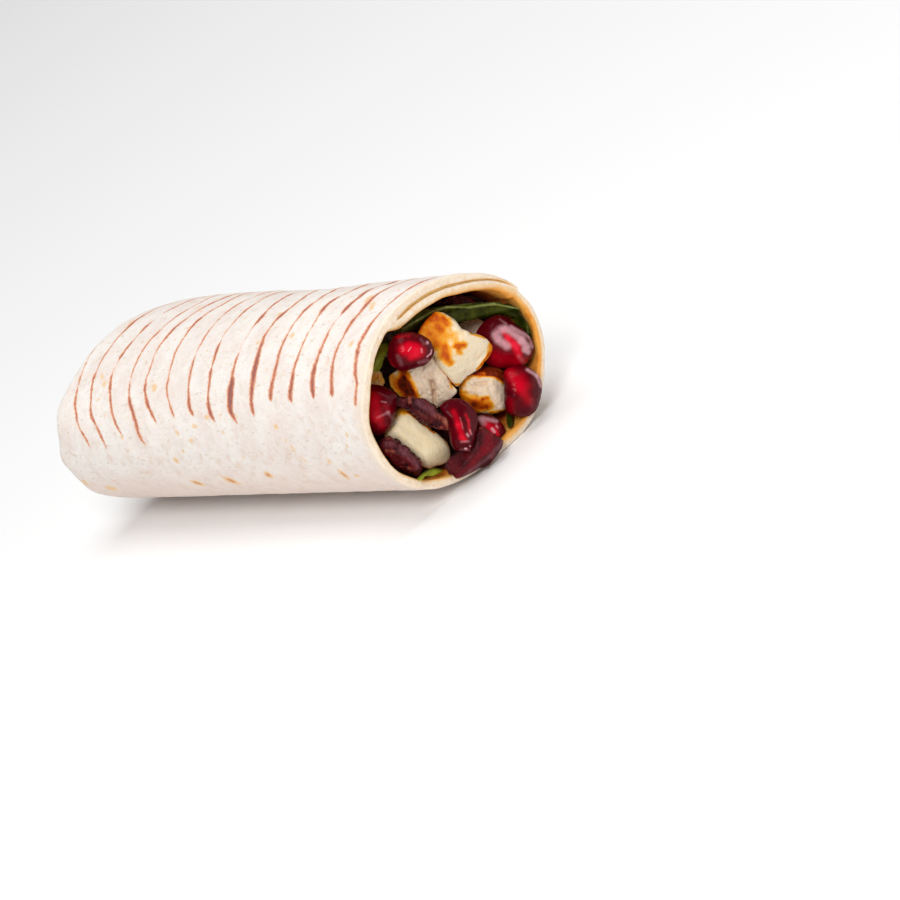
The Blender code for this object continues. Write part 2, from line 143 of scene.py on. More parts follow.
# The filling, as in the solids.
CLEARANCE = 0.3 * MM
CORE_BACK = 9.0 * MM
CORE_TUBE = TUBE - 4.0 * MM
CORE_DOME = DOME - 2.5 * MM
CORE_POLE = TUBE + DOME - 6.0 * MM
CORE_RELIEF = 0.6 * MM
PIECE_REACH = 2.6 * MM
RIM_BULGE = 1.5
LEAF_THICKNESS = 0.45 * MM
LEAF_WAVE = 0.1

# The eye that looks into the cut, and the camera there.
SIGHT_TURN = math.radians(60.4)
SIGHT_RISE = math.radians(19.0)
SIGHT_ROLL = math.radians(-31.9)
PHOTO_WIDTH = 900
PIXELS_PER_MM = 5.4               # at the middle of the cut
CUT_PIXEL = (454.7, 379.2)        # where the middle of the cut shows
EYE_DISTANCE = 713.9              # mm
SENSOR = 36.0
LENS = EYE_DISTANCE * PIXELS_PER_MM * SENSOR / PHOTO_WIDTH

# Each piece of the filling as the eye sees it, in mm. Its middle as (right, up, back), its whole depth, and
# its lean: how far its outline comes towards the eye per mm to the right and up. Then its outline, as
# (right, up) round it, and its front faces, as (height at the middle, rise per mm right, rise per mm up).
HALLOUMI = (
    ((0.0, 5.8, 3.4), 9.0, (-0.3, 0.1),
     ((-3.5, 12.6), (-2.2, 12.5), (-0.9, 11.7), (0.8, 10.1), (1.4, 9.4), (3.2, 8.5), (4.5, 8.4), (6.2, 7.4),
      (7.1, 6.4), (7.0, 5.3), (5.7, 3.4), (4.0, 1.7), (2.4, 0.7), (1.4, -0.4), (0.4, -1.3), (-1.2, 0.1),
      (-2.5, 1.9), (-3.6, 3.5), (-4.3, 6.0), (-6.9, 8.6), (-5.7, 10.5), (-4.6, 11.6)),
     ((4.6, 0.32, -0.24), (4.7, -0.5, 0.36), (9.0, -1.2, -0.1))),
    ((-5.6, -0.9, 6.4), 9.5, (-0.3, 0.0),
     ((-12.2, 0.6), (-10.4, 1.7), (-8.6, 2.8), (-6.0, 4.2), (-4.0, 4.4), (-2.6, 2.4), (-1.2, 0.2),
      (-0.6, -0.9), (0.3, -1.9), (0.2, -2.4), (-0.6, -3.4), (-2.6, -4.8), (-3.5, -5.1), (-4.6, -4.5),
      (-6.6, -3.9), (-8.4, -3.8), (-10.0, -3.2), (-11.3, -1.8)),
     ((4.4, -0.15, 0.1), (7.1, 1.2, 0.49))),
    ((5.3, -1.9, 5.6), 8.4, (-0.2, 0.0),
     ((4.0, 1.8), (5.2, 2.4), (6.8, 2.8), (8.8, 1.9), (9.5, 0.8), (9.8, -0.4), (9.75, -2.0), (9.8, -4.0),
      (9.6, -5.4), (8.2, -6.0), (6.6, -6.3), (5.0, -6.15), (3.6, -5.6), (2.4, -4.6), (1.2, -3.5),
      (0.8, -2.4), (1.2, -0.8), (1.6, 0.1), (2.8, 0.9)),
     ((4.0, 0.05, 0.0), (4.7, -0.45, 0.0), (6.2, 0.0, -0.8), (4.9, 0.2, 0.75))),
    ((-7.1, -10.6, 5.7), 8.0, (-0.3, 0.0),
     ((-12.6, -9.0), (-11.6, -7.0), (-10.3, -5.4), (-9.3, -5.6), (-8.3, -6.0), (-7.2, -7.0), (-5.8, -8.2),
      (-4.2, -9.5), (-2.5, -10.7), (-1.4, -11.8), (-0.85, -13.0), (-0.85, -14.3), (-1.3, -15.2),
      (-2.3, -15.8), (-3.4, -16.0), (-4.6, -16.6), (-6.0, -16.2), (-8.0, -14.6), (-10.0, -13.0),
      (-12.0, -11.4), (-13.2, -10.4)),
     ((3.6, -0.1, -0.12), (5.5, 0.64, 0.77), (7.1, 0.69, -0.58), (7.0, -0.62, 0.51))),
    ((-14.4, 0.1, 9.6), 4.0, (0.0, 0.0),
     ((-16.6, 1.4), (-14.4, 1.7), (-13.5, 0.4), (-13.8, -1.7), (-16.6, -1.6)),
     ((1.8, 0.0, 0.0),)),
    ((2.6, 9.7, 11.2), 4.0, (0.0, 0.0),
     ((0.6, 9.0), (0.7, 10.5), (2.4, 11.4), (4.8, 11.6), (6.0, 10.8), (5.0, 8.8), (3.0, 8.0)),
     ((1.9, 0.0, 0.0),)),
)
SEEDS = (
    ((-8.1, 5.1, 0.6), 7.6, (-0.2, 0.0),
     ((-12.35, 4.5), (-12.1, 6.2), (-11.6, 7.3), (-10.7, 8.2), (-9.0, 8.55), (-7.0, 8.35), (-5.4, 7.8),
      (-4.5, 7.0), (-3.95, 6.0), (-3.75, 5.0), (-4.0, 4.1), (-4.6, 3.2), (-5.4, 2.5), (-6.6, 2.15),
      (-8.0, 1.7), (-9.0, 1.4), (-10.0, 1.5), (-11.0, 2.0), (-11.8, 2.7), (-12.2, 3.6)),
     ((3.5, 0.0, 0.0), (5.0, -0.75, 0.1), (4.6, 0.1, 0.65), (4.6, 0.1, -0.6), (5.0, 0.7, 0.0))),
    ((-14.0, -5.3, 4.8), 8.0, (-0.2, 0.0),
     ((-15.2, -1.0), (-14.0, -1.1), (-12.6, -1.7), (-11.0, -2.5), (-10.4, -3.4), (-10.3, -4.3),
      (-10.8, -5.5), (-11.2, -7.0), (-11.8, -8.8), (-12.7, -9.7), (-14.0, -10.5), (-15.6, -9.6),
      (-17.0, -8.0), (-17.8, -5.5), (-17.2, -3.0), (-16.2, -1.6)),
     ((3.6, 0.1, 0.0), (4.8, -0.8, -0.2), (5.0, 0.1, -0.65), (4.4, -0.2, 0.5))),
    ((9.6, 7.2, 2.6), 8.6, (-0.35, 0.0),
     ((4.0, 8.8), (4.6, 10.0), (5.8, 11.2), (7.0, 11.9), (8.2, 12.3), (9.2, 12.0), (10.4, 11.2),
      (12.0, 10.1), (13.4, 9.1), (14.3, 8.0), (14.9, 6.9), (15.0, 5.8), (14.6, 4.8), (14.0, 3.9),
      (13.2, 3.0), (12.4, 2.35), (11.2, 2.1), (10.0, 2.1), (9.0, 2.2), (7.2, 2.5), (5.6, 3.4), (4.6, 5.4),
      (3.9, 7.2)),
     ((3.9, 0.05, 0.05), (4.75, 0.34, 0.65), (6.1, -0.59, -0.93), (6.0, 0.8, 0.0), (8.9, -1.1, 0.45))),
    ((12.9, -2.2, -0.1), 7.3, (-0.35, 0.0),
     ((9.5, -5.5), (9.4, -3.0), (9.3, -1.0), (9.1, 0.8), (9.3, 1.8), (10.2, 2.3), (12.0, 2.6), (13.0, 2.7),
      (14.2, 2.3), (15.2, 1.6), (15.9, 0.7), (16.35, -0.3), (16.45, -1.5), (16.25, -2.8), (15.9, -4.1),
      (15.6, -5.2), (15.0, -6.2), (14.0, -6.8), (12.5, -6.9), (11.0, -6.7), (10.0, -6.2)),
     ((3.5, 0.0, 0.05), (5.1, -0.9, 0.0), (4.9, -0.3, 0.55), (4.8, 0.4, -0.4), (4.9, 0.6, 0.1))),
    ((1.2, -8.6, -1.3), 6.4, (-0.3, 0.0),
     ((-2.8, -5.1), (-2.0, -4.2), (-0.5, -3.6), (0.8, -3.6), (2.4, -4.4), (3.6, -5.6), (4.1, -6.6),
      (4.15, -8.5), (3.85, -10.0), (3.5, -11.6), (3.2, -12.8), (2.7, -13.4), (2.0, -13.55), (1.2, -13.3),
      (0.1, -13.1), (-0.5, -12.5), (-0.9, -11.0), (-1.1, -9.5), (-1.2, -8.0), (-1.7, -7.0), (-2.5, -6.0)),
     ((3.2, 0.25, 0.02), (3.6, -0.75, -0.1), (5.2, -0.2, -0.75), (6.2, 0.0, 0.8))),
    ((6.7, -9.0, 2.8), 4.6, (-0.3, 0.0),
     ((4.0, -7.2), (4.9, -6.55), (6.5, -6.6), (7.8, -7.2), (8.8, -8.1), (9.4, -9.1), (9.75, -10.0),
      (9.6, -10.7), (9.0, -11.4), (7.5, -11.8), (5.6, -11.0), (4.3, -9.4), (3.9, -8.2)),
     ((2.2, 0.1, 0.0), (2.9, -0.7, 0.1), (2.9, 0.0, -0.6))),
)
BEETROOT = (
    ((-5.9, -6.3, 1.3), 3.2, (-0.3, 0.0),
     ((-10.5, -3.3), (-9.0, -3.3), (-8.2, -3.2), (-7.2, -3.7), (-5.8, -3.8), (-4.6, -4.6), (-3.4, -5.5),
      (-2.8, -6.2), (-1.8, -6.9), (-0.6, -7.6), (-0.7, -8.5), (-1.1, -9.6), (-2.0, -9.3), (-3.2, -9.3),
      (-4.5, -8.8), (-5.8, -8.0), (-7.4, -6.7), (-8.4, -5.9), (-9.4, -5.5), (-10.6, -4.9)),
     ((1.6, 0.0, 0.0), (2.3, 0.6, 0.72))),
    ((-9.6, -14.2, 3.0), 4.2, (-0.3, 0.0),
     ((-14.0, -11.2), (-13.0, -10.9), (-11.8, -10.7), (-11.0, -11.2), (-10.0, -11.5), (-9.7, -12.3),
      (-9.0, -12.3), (-8.3, -13.2), (-7.4, -14.2), (-6.8, -14.8), (-6.0, -14.9), (-5.8, -15.8),
      (-6.3, -16.6), (-6.4, -17.2), (-7.0, -17.9), (-8.0, -17.6), (-9.6, -16.8), (-10.6, -16.1),
      (-12.6, -14.6), (-13.5, -13.2), (-14.1, -12.2)),
     ((2.1, 0.0, 0.0), (2.7, 0.6, 0.75))),
    ((3.8, -14.0, -0.9), 2.6, (-0.45, 0.0),
     ((4.3, -9.0), (5.2, -8.7), (7.0, -10.1), (8.4, -10.9), (9.1, -11.4), (9.0, -12.1), (8.4, -13.2),
      (7.5, -14.5), (6.6, -15.7), (4.6, -17.1), (3.0, -18.0), (1.5, -19.0), (0.6, -19.3), (-0.2, -18.8),
      (-0.8, -18.2), (-1.3, -17.1), (-2.0, -16.2), (-1.4, -15.2), (0.0, -14.0), (1.8, -13.0), (3.2, -11.4),
      (3.8, -10.2)),
     ((1.6, 0.1, -0.05), (3.2, -0.7, 0.9), (2.5, 1.0, -0.55))),
    ((0.0, 14.9, 8.0), 4.0, (0.0, 0.0),
     ((-4.2, 14.2), (-3.4, 14.7), (-1.6, 15.1), (-0.6, 15.7), (0.6, 15.9), (2.0, 15.6), (3.6, 14.9),
      (4.6, 14.4), (2.0, 14.0), (-2.0, 13.9)),
     ((1.9, 0.0, 0.0),)),
    ((-2.3, -9.6, 9.6), 3.6, (0.0, 0.0),
     ((-3.9, -8.2), (-0.8, -8.0), (-0.7, -11.1), (-3.8, -11.2)),
     ((1.6, 0.0, 0.0),)),
)
# Each leaf: points along its middle and the way across it (right, up, back), both in mm, then its width.
SPINACH = (
    (((-10.8, 8.4, 5.5), (-4.5, 11.6, 5.0), (4.0, 12.9, 4.4), (12.6, 13.6, 0.9)), (0.0, -1.0, 0.4), 3.6),
    (((8.6, 12.8, 4.4), (12.0, 12.0, 2.6), (13.9, 9.2, 2.2), (14.6, 5.4, 3.4), (14.4, 2.0, 4.4)),
     (-0.8, -0.5, 0.7), 3.8),
    (((-12.2, 7.0, 6.0), (-13.9, 4.4, 6.0), (-14.6, 1.4, 6.5)), (1.0, 0.2, 0.6), 2.6),
    (((-2.4, -17.1, 2.2), (-4.8, -17.5, 0.6), (-6.7, -19.2, -1.0)), (0.2, 1.0, 0.4), 1.7),
    (((10.2, -6.0, 3.9), (10.4, -7.4, 2.4), (10.3, -8.8, 0.9)), (1.0, 0.0, 0.0), 1.4),
)

# Each grill mark as a stroke round the roll: (angle in degrees, back in mm, width in mm) from its lower end.
GRILL_MARKS = (
    ((153.5, 1.1, -1.8), (151.5, 1.3, 0.4), (147, 1.2, 1.1), (141, 1.1, 1), (133, 2.5, 1.2), (125, 3.5, 1),
     (115, 4.3, 1.1), (102, 4.3, 0.9), (93, 4.1, 0.6), (80, 4, 0.8), (68, 3.6, 1), (48, 4.5, 0.6),
     (34, 5, -1.8)),
    ((146.5, 8.9, -1.2), (142, 9.4, 1.4), (133, 10.2, 1.1), (126, 10.8, 0.7), (116, 11.2, 0.7),
     (103, 11.3, 1), (97, 11.5, 0.8), (89, 12.3, 1.2), (80, 12.7, 1), (72, 12.6, 0.5), (58, 14, 0.9),
     (37, 15, -1.8)),
    ((147, 15.1, -1.2), (141, 15.9, 1.4), (132, 16.7, 1.4), (124, 16.8, 1.1), (113, 17, 0.9),
     (105, 17.4, 0.2), (100, 17.4, 0.1), (96, 17.5, 1.2), (86, 17.7, 1.4), (77, 18.5, 1.2), (73, 18.4, 0.2),
     (67, 17.6, 1.6), (52, 21, 1), (30, 22, -1.8)),
    ((148, 22.8, -1.2), (142, 23.5, 1.6), (135, 23.4, 1.2), (126, 23.4, 0.7), (114, 23.9, 0.4),
     (101, 24.6, 0.5), (95, 25.3, 1.2), (90, 25.9, 1.5), (84, 25.9, 1.1), (79, 25.2, 0.3), (73, 25.4, 1.2),
     (60, 28.5, 0.8), (38, 30, -1.8)),
    ((146, 30.1, -1.2), (141, 30.3, 1.5), (134, 30.1, 1.3), (125, 30, 1.1), (117, 30.7, 0.8),
     (105, 31.4, 0.6), (98, 31.8, 0.4), (92, 32.3, 1.1), (84, 32.7, 0.8), (76, 34.2, 1.2), (60, 37.5, 0.8),
     (33, 38, -1.8)),
    ((154, 35.9, -1.2), (148, 36.6, 1.2), (138, 37.1, 1.6), (129, 37.3, 1.9), (121, 37.8, 1.6),
     (114, 38.8, 1.2), (106, 39.6, 0.9), (101, 39.6, 0.4), (95, 39.6, 1.6), (89, 39.5, 1), (80, 40.9, 1),
     (70, 43.6, 1), (52, 47, 0.8), (28, 47, -1.8)),
    ((159, 41.5, -1.2), (153, 43.2, 1), (148, 44.3, 1.8), (138, 44.7, 2.4), (131, 44.9, 1.6),
     (125, 45.5, 0.8), (121, 45.9, 0.8), (115, 46.2, 0), (104, 47, 0), (97, 47.5, 1.1), (92, 48, 1.2),
     (87, 49, 0.7), (79, 50.2, 1.1), (66, 52.5, 0.8), (42, 54, -1.8)),
    ((155, 49.7, -1.2), (150, 51.3, 1.3), (141, 52.6, 1), (133, 53.2, 0.8), (126, 54, 1.1),
     (122.5, 54.4, 0.2), (117, 55, 1.1), (111, 56, 0.9), (104, 56.9, 0.4), (92, 57.7, 0.6), (84, 58.5, 1.1),
     (77, 59.2, 0.2), (67, 61, 0.8), (50, 62.5, 0.7), (35, 63, -1.8)),
    ((151, 57.8, -1.8), (149, 58, 0.6), (145, 59.1, 1.3), (138, 60.4, 1), (128, 61.9, 0.8),
     (120, 62.9, 0.8), (113, 63.9, 0.3), (104, 64.6, 0.5), (92, 65.5, 0.2), (80, 66.2, 0.8),
     (70, 66.5, 0.3), (55, 68, 0.8), (40, 69, -1.8)),
    ((152, 64.2, -1.2), (144, 66.6, 0.6), (133, 69.8, 0.6), (124, 71, 0.4), (116, 72.2, 0.5),
     (111, 73.1, 1), (105, 73.5, 0.4), (92, 74.4, 1.2), (84, 73.6, 0.8), (76, 72.9, 0.7), (60, 75, 0.9),
     (32, 76, -1.8)),
    ((154, 71.2, -1.2), (147, 73.5, 1.1), (134, 77.8, 1.2), (126, 79.4, 0.5), (119, 80, 0.3),
     (104, 81.6, 0.7), (95, 81.6, 1.2), (90, 80.8, 1.2), (83, 79.9, 0.5), (71, 79, 1.1), (50, 81, 0.7),
     (36, 82, -1.8)),
    ((167, 75.6, -1.2), (160, 77.8, 1), (148, 79.9, 1.3), (139, 82.8, 1.4), (133, 84.3, 0.7),
     (118, 86.5, 0.4), (104, 87.5, 0.7), (97, 87.3, 0.9), (90, 87, 0.4), (81, 85.9, 1.2), (73, 85.4, 0.4),
     (55, 87.5, 0.8), (34, 88, -1.8)),
    ((160, 83.8, -1.2), (153, 86.2, 0.9), (145, 88.6, 0.8), (136, 90.8, 0.8), (126, 93.2, 1.2),
     (120, 94.3, 0.5), (114, 94.6, 0.1), (108, 95, 1.3), (101, 95.1, 0.9), (97, 95.2, 0.3), (90, 95.4, 1.2),
     (82, 95.8, 0.2), (68, 94.5, 1.2), (46, 95.5, 0.6), (30, 96, -1.8)),
    ((168, 90.9, -1.2), (160, 92.2, 0.8), (151, 94.5, 0.8), (144, 97, 1), (134, 98.7, 0.5), (127, 100, 0.6),
     (122, 101, 1.1), (117, 101.5, 0.4), (109, 102.3, 0.9), (98, 103.2, 0.4), (88, 104.3, 1.2),
     (77, 105, 1.2), (58, 104, 0.7), (40, 103.5, -1.8)),
    ((165, 97.4, -1.2), (158, 98.8, 0.6), (150, 101.2, 0.5), (138, 103.8, 0.8), (130, 105.3, 0.4),
     (118, 107.6, 0.3), (104, 110, 0.3), (80, 112, 0.6), (55, 112, -1.8)),
)
MARK_ANGLES = (20.0, 180.0)        # the range of angles in which marks lie
WIDTH_RANGE = (-1.8, 3.0)          # mm, the widths that a curve can give; below 0 there is no mark

# Freckles that the baking left: (angle in degrees, back, length, width in mm, lean in degrees, strength).
FRECKLES = (
    (121.5, 97.8, 1.6, 0.7, 35, 0.6), (126, 95.5, 1.3, 0.9, 40, 0.7), (131, 75.0, 1.3, 1.0, 30, 0.8),
    (135, 95.6, 0.9, 0.6, 0, 0.5), (83, 106.0, 1.6, 0.8, 30, 0.7), (159, 84.7, 1.0, 0.7, 60, 0.7),
    (159, 64.0, 1.2, 0.7, 35, 0.8), (155.5, 57.5, 1.4, 0.7, 15, 0.7), (164, 59.3, 0.9, 0.6, 0, 0.8),
    (94, 41.2, 1.0, 0.6, 0, 0.9), (112, 40.6, 0.7, 0.6, 0, 0.9), (110, 29.2, 0.9, 0.7, 0, 0.8),
    (127, 13.0, 1.5, 1.0, -20, 0.5), (122, 25.2, 0.8, 0.5, 0, 0.6), (128, 24.2, 0.7, 0.5, 0, 0.6),
    (87, 13.6, 1.6, 0.9, 60, 0.8), (93, 9.6, 2.0, 0.7, 45, 0.8), (118, 7.0, 0.8, 1.0, 0, 0.8),
    (160, 29.2, 0.8, 0.7, 0, 0.9), (169, 26.9, 0.7, 0.6, 0, 0.6), (174, 26.0, 1.3, 0.6, 60, 0.7),
    (168, 6.2, 0.9, 0.9, 0, 0.7), (175, 7.6, 0.8, 0.6, 0, 0.7), (151, 52.9, 0.8, 0.6, 0, 1.0),
    (161, 47.5, 0.9, 0.6, 0, 0.6), (177, 67.3, 1.0, 1.0, 0, 0.9), (171, 63.3, 0.8, 0.5, 0, 0.8),
    (173, 79.5, 0.8, 0.5, 0, 0.6), (168, 83.2, 0.8, 0.6, 0, 0.5), (178, 44.0, 1.0, 0.5, 40, 0.6),
    (183, 24.0, 1.4, 0.5, 50, 0.6), (185, 16.0, 0.8, 1.0, 0, 0.7), (197, 66.6, 1.7, 1.1, 30, 1.3),
    (196, 53.8, 2.0, 1.2, 30, 1.4), (193, 39.5, 1.2, 1.1, 0, 1.3), (196, 14.8, 0.8, 1.5, 0, 1.4),
    (197, 10.9, 0.8, 0.6, 0, 1.1), (199, 101.0, 2.4, 1.4, 10, 0.8), (192, 108.0, 1.6, 1.6, 10, 0.7),
)


# ---------------------------------------------------------------------------------------------------------
# Numbers over a surface


def smooth_step(share):
    """Ease from 0 to 1 as share goes from 0 to 1."""
    share = np.clip(share, 0.0, 1.0)
    return share * share * (3.0 - 2.0 * share)


NOISE_VALUES = 4096
NOISE_PRIMES = np.array([73856093, 19349663, 83492791])


def cloud(points, cell, seed):
    """Smooth noise from -1 to 1: a random value at each corner of a grid of cubes of side cell, blended."""
    values = np.random.default_rng(seed).uniform(-1.0, 1.0, NOISE_VALUES)
    corner = np.floor(points / cell).astype(np.int64)
    share = smooth_step(points / cell - corner)
    total = np.zeros(points.shape[:-1])
    for step in itertools.product((0, 1), repeat=3):
        key = np.bitwise_xor.reduce((corner + np.array(step)) * NOISE_PRIMES, axis=-1)
        weight = np.prod(np.where(np.array(step) == 1, share, 1.0 - share), axis=-1)
        total += weight * values[key % NOISE_VALUES]
    return total


def rough(points, cell, seed, layers=3):
    """Layers of noise, each at half the size and half the height of the one before."""
    return sum(cloud(points, cell / 2 ** layer, seed + layer) / 2 ** layer for layer in range(layers))


def sight_axes():
    """Right, up and towards the camera's eye, as the columns of a matrix."""
    flat = math.cos(SIGHT_RISE)
    toward = Vector((math.sin(SIGHT_TURN) * flat, -math.cos(SIGHT_TURN) * flat, math.sin(SIGHT_RISE)))
    level = Vector((math.cos(SIGHT_TURN), math.sin(SIGHT_TURN), 0.0))
    upright = toward.cross(level)
    right = level * math.cos(SIGHT_ROLL) + upright * math.sin(SIGHT_ROLL)
    return Matrix((right, toward.cross(right), toward)).transposed()


EYE = np.array(sight_axes())


def seen(spot):
    """The point that shows at spot's right and up, in mm, and lies its third number behind the cut."""
    right, up, back = spot
    toward = (-back - right * EYE[0][0] - up * EYE[0][1]) / EYE[0][2]
    return AXIS + EYE @ np.array([right, up, toward]) * MM


def in_sight(points):
    """How far right and up of the middle of the cut the points show, and how near the eye, in mm."""
    return (points - AXIS) @ EYE / MM


def bell(shown, start, end, half_width):
    """A soft stroke from start to end over places that the eye sees: 1 on its line and a bell beside it."""
    start, run = np.array(start), np.array(end) - np.array(start)
    share = np.clip((shown - start) @ run / max(run @ run, 1e-9), 0.0, 1.0)
    away = np.linalg.norm(shown - start - share[..., None] * run, axis=-1)
    return np.exp(-(away / half_width) ** 2)


def strokes(points, rows):
    """How strongly soft strokes cover each point, as the eye sees them. Each row is a start, an end, a half
    width and a strength, and strokes that cross add up as glazes do."""
    shown = in_sight(points)[..., :2]
    bare = np.ones(points.shape[:-1])
    for start, end, half_width, strength in rows:
        bare *= np.exp(-strength * bell(shown, start, end, half_width))
    return 1.0 - bare


def scorch(points, rows, most):
    """How far soft strokes browned each point: their strengths simply add up, as far as most."""
    shown = in_sight(points)[..., :2]
    total = np.zeros(points.shape[:-1])
    for start, end, half_width, strength in rows:
        total += strength * bell(shown, start, end, half_width)
    return np.minimum(total, most)


# ---------------------------------------------------------------------------------------------------------
# Meshes


def closed_skin(name, rings, poles, marks=None, uv=None):
    """A closed mesh from rings of points (ring, place round it, xyz), with a fan to a pole at each end. Marks
    are named numbers for every ring point, and uv gives each ring point's (turn, along); the turn of the
    last place runs on to 1 instead of back to 0."""
    count, around = rings.shape[:2]
    points = np.concatenate([poles[0][None], rings.reshape(-1, 3), poles[1][None]])
    ring = np.arange(count * around).reshape(count, around) + 1
    following = np.roll(ring, -1, axis=1)
    quads = np.stack([ring[:-1], following[:-1], following[1:], ring[1:]], axis=-1).reshape(-1, 4)
    near_fan = np.stack([np.zeros(around, int), following[0], ring[0]], axis=-1)
    far_fan = np.stack([np.full(around, len(points) - 1), ring[-1], following[-1]], axis=-1)
    corners = points[quads]
    flow = np.cross(corners[:, 2] - corners[:, 0], corners[:, 3] - corners[:, 1])
    if (flow * (corners.mean(axis=1) - points.mean(axis=0))).sum() < 0.0:
        quads, near_fan, far_fan = quads[:, ::-1], near_fan[:, ::-1], far_fan[:, ::-1]
    mesh = bpy.data.meshes.new(name)
    mesh.from_pydata(points.tolist(), [], quads.tolist() + near_fan.tolist() + far_fan.tolist())
    for label, values in (marks or {}).items():
        values = np.concatenate([[values[0].mean()], values.reshape(-1), [values[-1].mean()]])
        mesh.attributes.new(label, "FLOAT", "POINT").data.foreach_set("value", values.astype(np.float32))
    if uv is not None:
        lay_uv(mesh, uv, quads, near_fan, far_fan)
    mesh.shade_smooth()
    thing = bpy.data.objects.new(name, mesh)
    bpy.context.collection.objects.link(thing)
    return thing


SEAM_JUMP = 0.6                    # the turns of a face that crosses the seam differ by more than this


def lay_uv(mesh, uv, quads, near_fan, far_fan):
    """The UV map of a closed skin. Where a face closes the ring, its turns past the last place go on to 1."""
    flat = uv.reshape(-1, 2)
    ends = np.array([[0.5, uv[0, 0, 1]], [0.5, uv[-1, 0, 1]]])
    table = np.concatenate([ends[:1], flat, ends[1:]])
    corners = np.concatenate([quads.reshape(-1), near_fan.reshape(-1), far_fan.reshape(-1)])
    spots = table[corners]
    first = 0
    for faces in (quads, near_fan, far_fan):
        turns = spots[first:first + faces.size, 0].reshape(faces.shape)
        wraps = turns.max(axis=1) - turns.min(axis=1) > SEAM_JUMP
        turns[wraps] = np.where(turns[wraps] < 0.5, turns[wraps] + 1.0, turns[wraps])
        spots[first:first + faces.size, 0] = turns.reshape(-1)
        first += faces.size
    layer = mesh.uv_layers.new(name="sheet")
    layer.data.foreach_set("uv", spots.astype(np.float32).reshape(-1))


def finish_piece(thing, node, material):
    """The piece takes its solid's place and its material, and rides with the whole."""
    thing.data.materials.append(material)
    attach(thing, "root")
    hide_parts(node)


# ---------------------------------------------------------------------------------------------------------
# Materials


def colour(red, green, blue):
    """A colour as seen, from 0 to 255, in the linear values that a shader takes."""
    share = np.array([red, green, blue]) / 255.0
    linear = np.where(share > 0.04045, ((share + 0.055) / 1.055) ** 2.4, share / 12.92)
    return (*linear.tolist(), 1.0)


class Value:
    """A socket that varies over a surface. Arithmetic on it adds its Math nodes."""

    def __init__(self, finish, socket):
        self.finish = finish
        self.socket = socket

    def math(self, operation, *others):
        """The value of a Math node with this socket first and the others after it."""
        sockets = dict(enumerate((self, *others)))
        return self.finish.node("ShaderNodeMath", {"operation": operation}, sockets)

    def __add__(self, other):
        return self.math("ADD", other)

    def __sub__(self, other):
        return self.math("SUBTRACT", other)

    def __mul__(self, other):
        return self.math("MULTIPLY", other)

    def __truediv__(self, other):
        return self.math("DIVIDE", other)

    def __rsub__(self, other):
        return (self * -1.0) + other

    __radd__ = __add__
    __rmul__ = __mul__

    def size(self):
        """The value without its sign."""
        return self.math("ABSOLUTE")

    def most(self, other):
        """The greater of the two."""
        return self.math("MAXIMUM", other)

    def step(self, low, high):
        """Ease from 0 at low to 1 at high; low may be the greater."""
        settings = {"interpolation_type": "SMOOTHSTEP"}
        return self.finish.node("ShaderNodeMapRange", settings, {0: self, 1: low, 2: high, 3: 0.0, 4: 1.0})


class Finish:
    """A material being made, with one Principled shader. Places in it are in millimetres."""

    def __init__(self, name):
        self.material = bpy.data.materials.new(name)
        self.material.use_nodes = True
        self.tree = self.material.node_tree
        self.shader = self.tree.nodes["Principled BSDF"]

    def node(self, kind, settings=None, sockets=None, output=0):
        """Add a node, make its settings, then set or link its sockets, and return one of its outputs."""
        node = self.tree.nodes.new(kind)
        for name, setting in (settings or {}).items():
            if name == "stops":
                set_stops(node.color_ramp, setting)
            elif name == "curve":
                set_curve(node.mapping, setting)
            else:
                setattr(node, name, setting)
        for name, value in (sockets or {}).items():
            self.put(node.inputs[name], value)
        return Value(self, node.outputs[output])

    def put(self, socket, value):
        """Link a value to a socket, or set a plain one."""
        if isinstance(value, Value):
            self.tree.links.new(value.socket, socket)
        else:
            socket.default_value = value

    def set(self, **sockets):
        """Set the shader's sockets by name, with _ for a space."""
        for name, value in sockets.items():
            self.put(self.shader.inputs[name.replace("_", " ")], value)

    def place(self):
        """Object coordinates in millimetres."""
        spot = self.node("ShaderNodeTexCoord", output="Object")
        return self.node("ShaderNodeVectorMath", {"operation": "SCALE"}, {0: spot, "Scale": 1.0 / MM})

    def mark(self, name):
        """A number that the mesh holds for every point."""
        return self.node("ShaderNodeAttribute", {"attribute_name": name}, output="Fac")

    def noise(self, spot, size, detail=2.0, roughness=0.5):
        """Noise from 0 to 1 whose lumps are about that size in millimetres."""
        sockets = {"Vector": spot, "Scale": 1.0 / size, "Detail": detail, "Roughness": roughness}
        return self.node("ShaderNodeTexNoise", None, sockets)

    def stretch(self, spot, turn, scale):
        """The place turned by degrees about each axis and then scaled, for noise with a grain."""
        sockets = {"Vector": spot, "Rotation": tuple(math.radians(angle) for angle in turn), "Scale": scale}
        return self.node("ShaderNodeMapping", None, sockets)

    def mix(self, share, one, other):
        """From one colour to the other as share goes from 0 to 1."""
        return self.node("ShaderNodeMix", {"data_type": "RGBA"}, {0: share, 6: one, 7: other}, 2)

    def ramp(self, value, stops):
        """The colour at a value between stops, each (value, colour)."""
        return self.node("ShaderNodeValToRGB", {"stops": stops}, {0: value})

    def curve(self, value, knots):
        """The height at a value of the curve through knots, all from 0 to 1."""
        return self.node("ShaderNodeFloatCurve", {"curve": knots}, {"Value": value})

    def relief(self, height, depth):
        """Bump from a height between 0 and 1, of a depth in millimetres."""
        sockets = {"Height": height, "Distance": depth * MM, "Strength": 1.0}
        self.put(self.shader.inputs["Normal"], self.node("ShaderNodeBump", None, sockets))


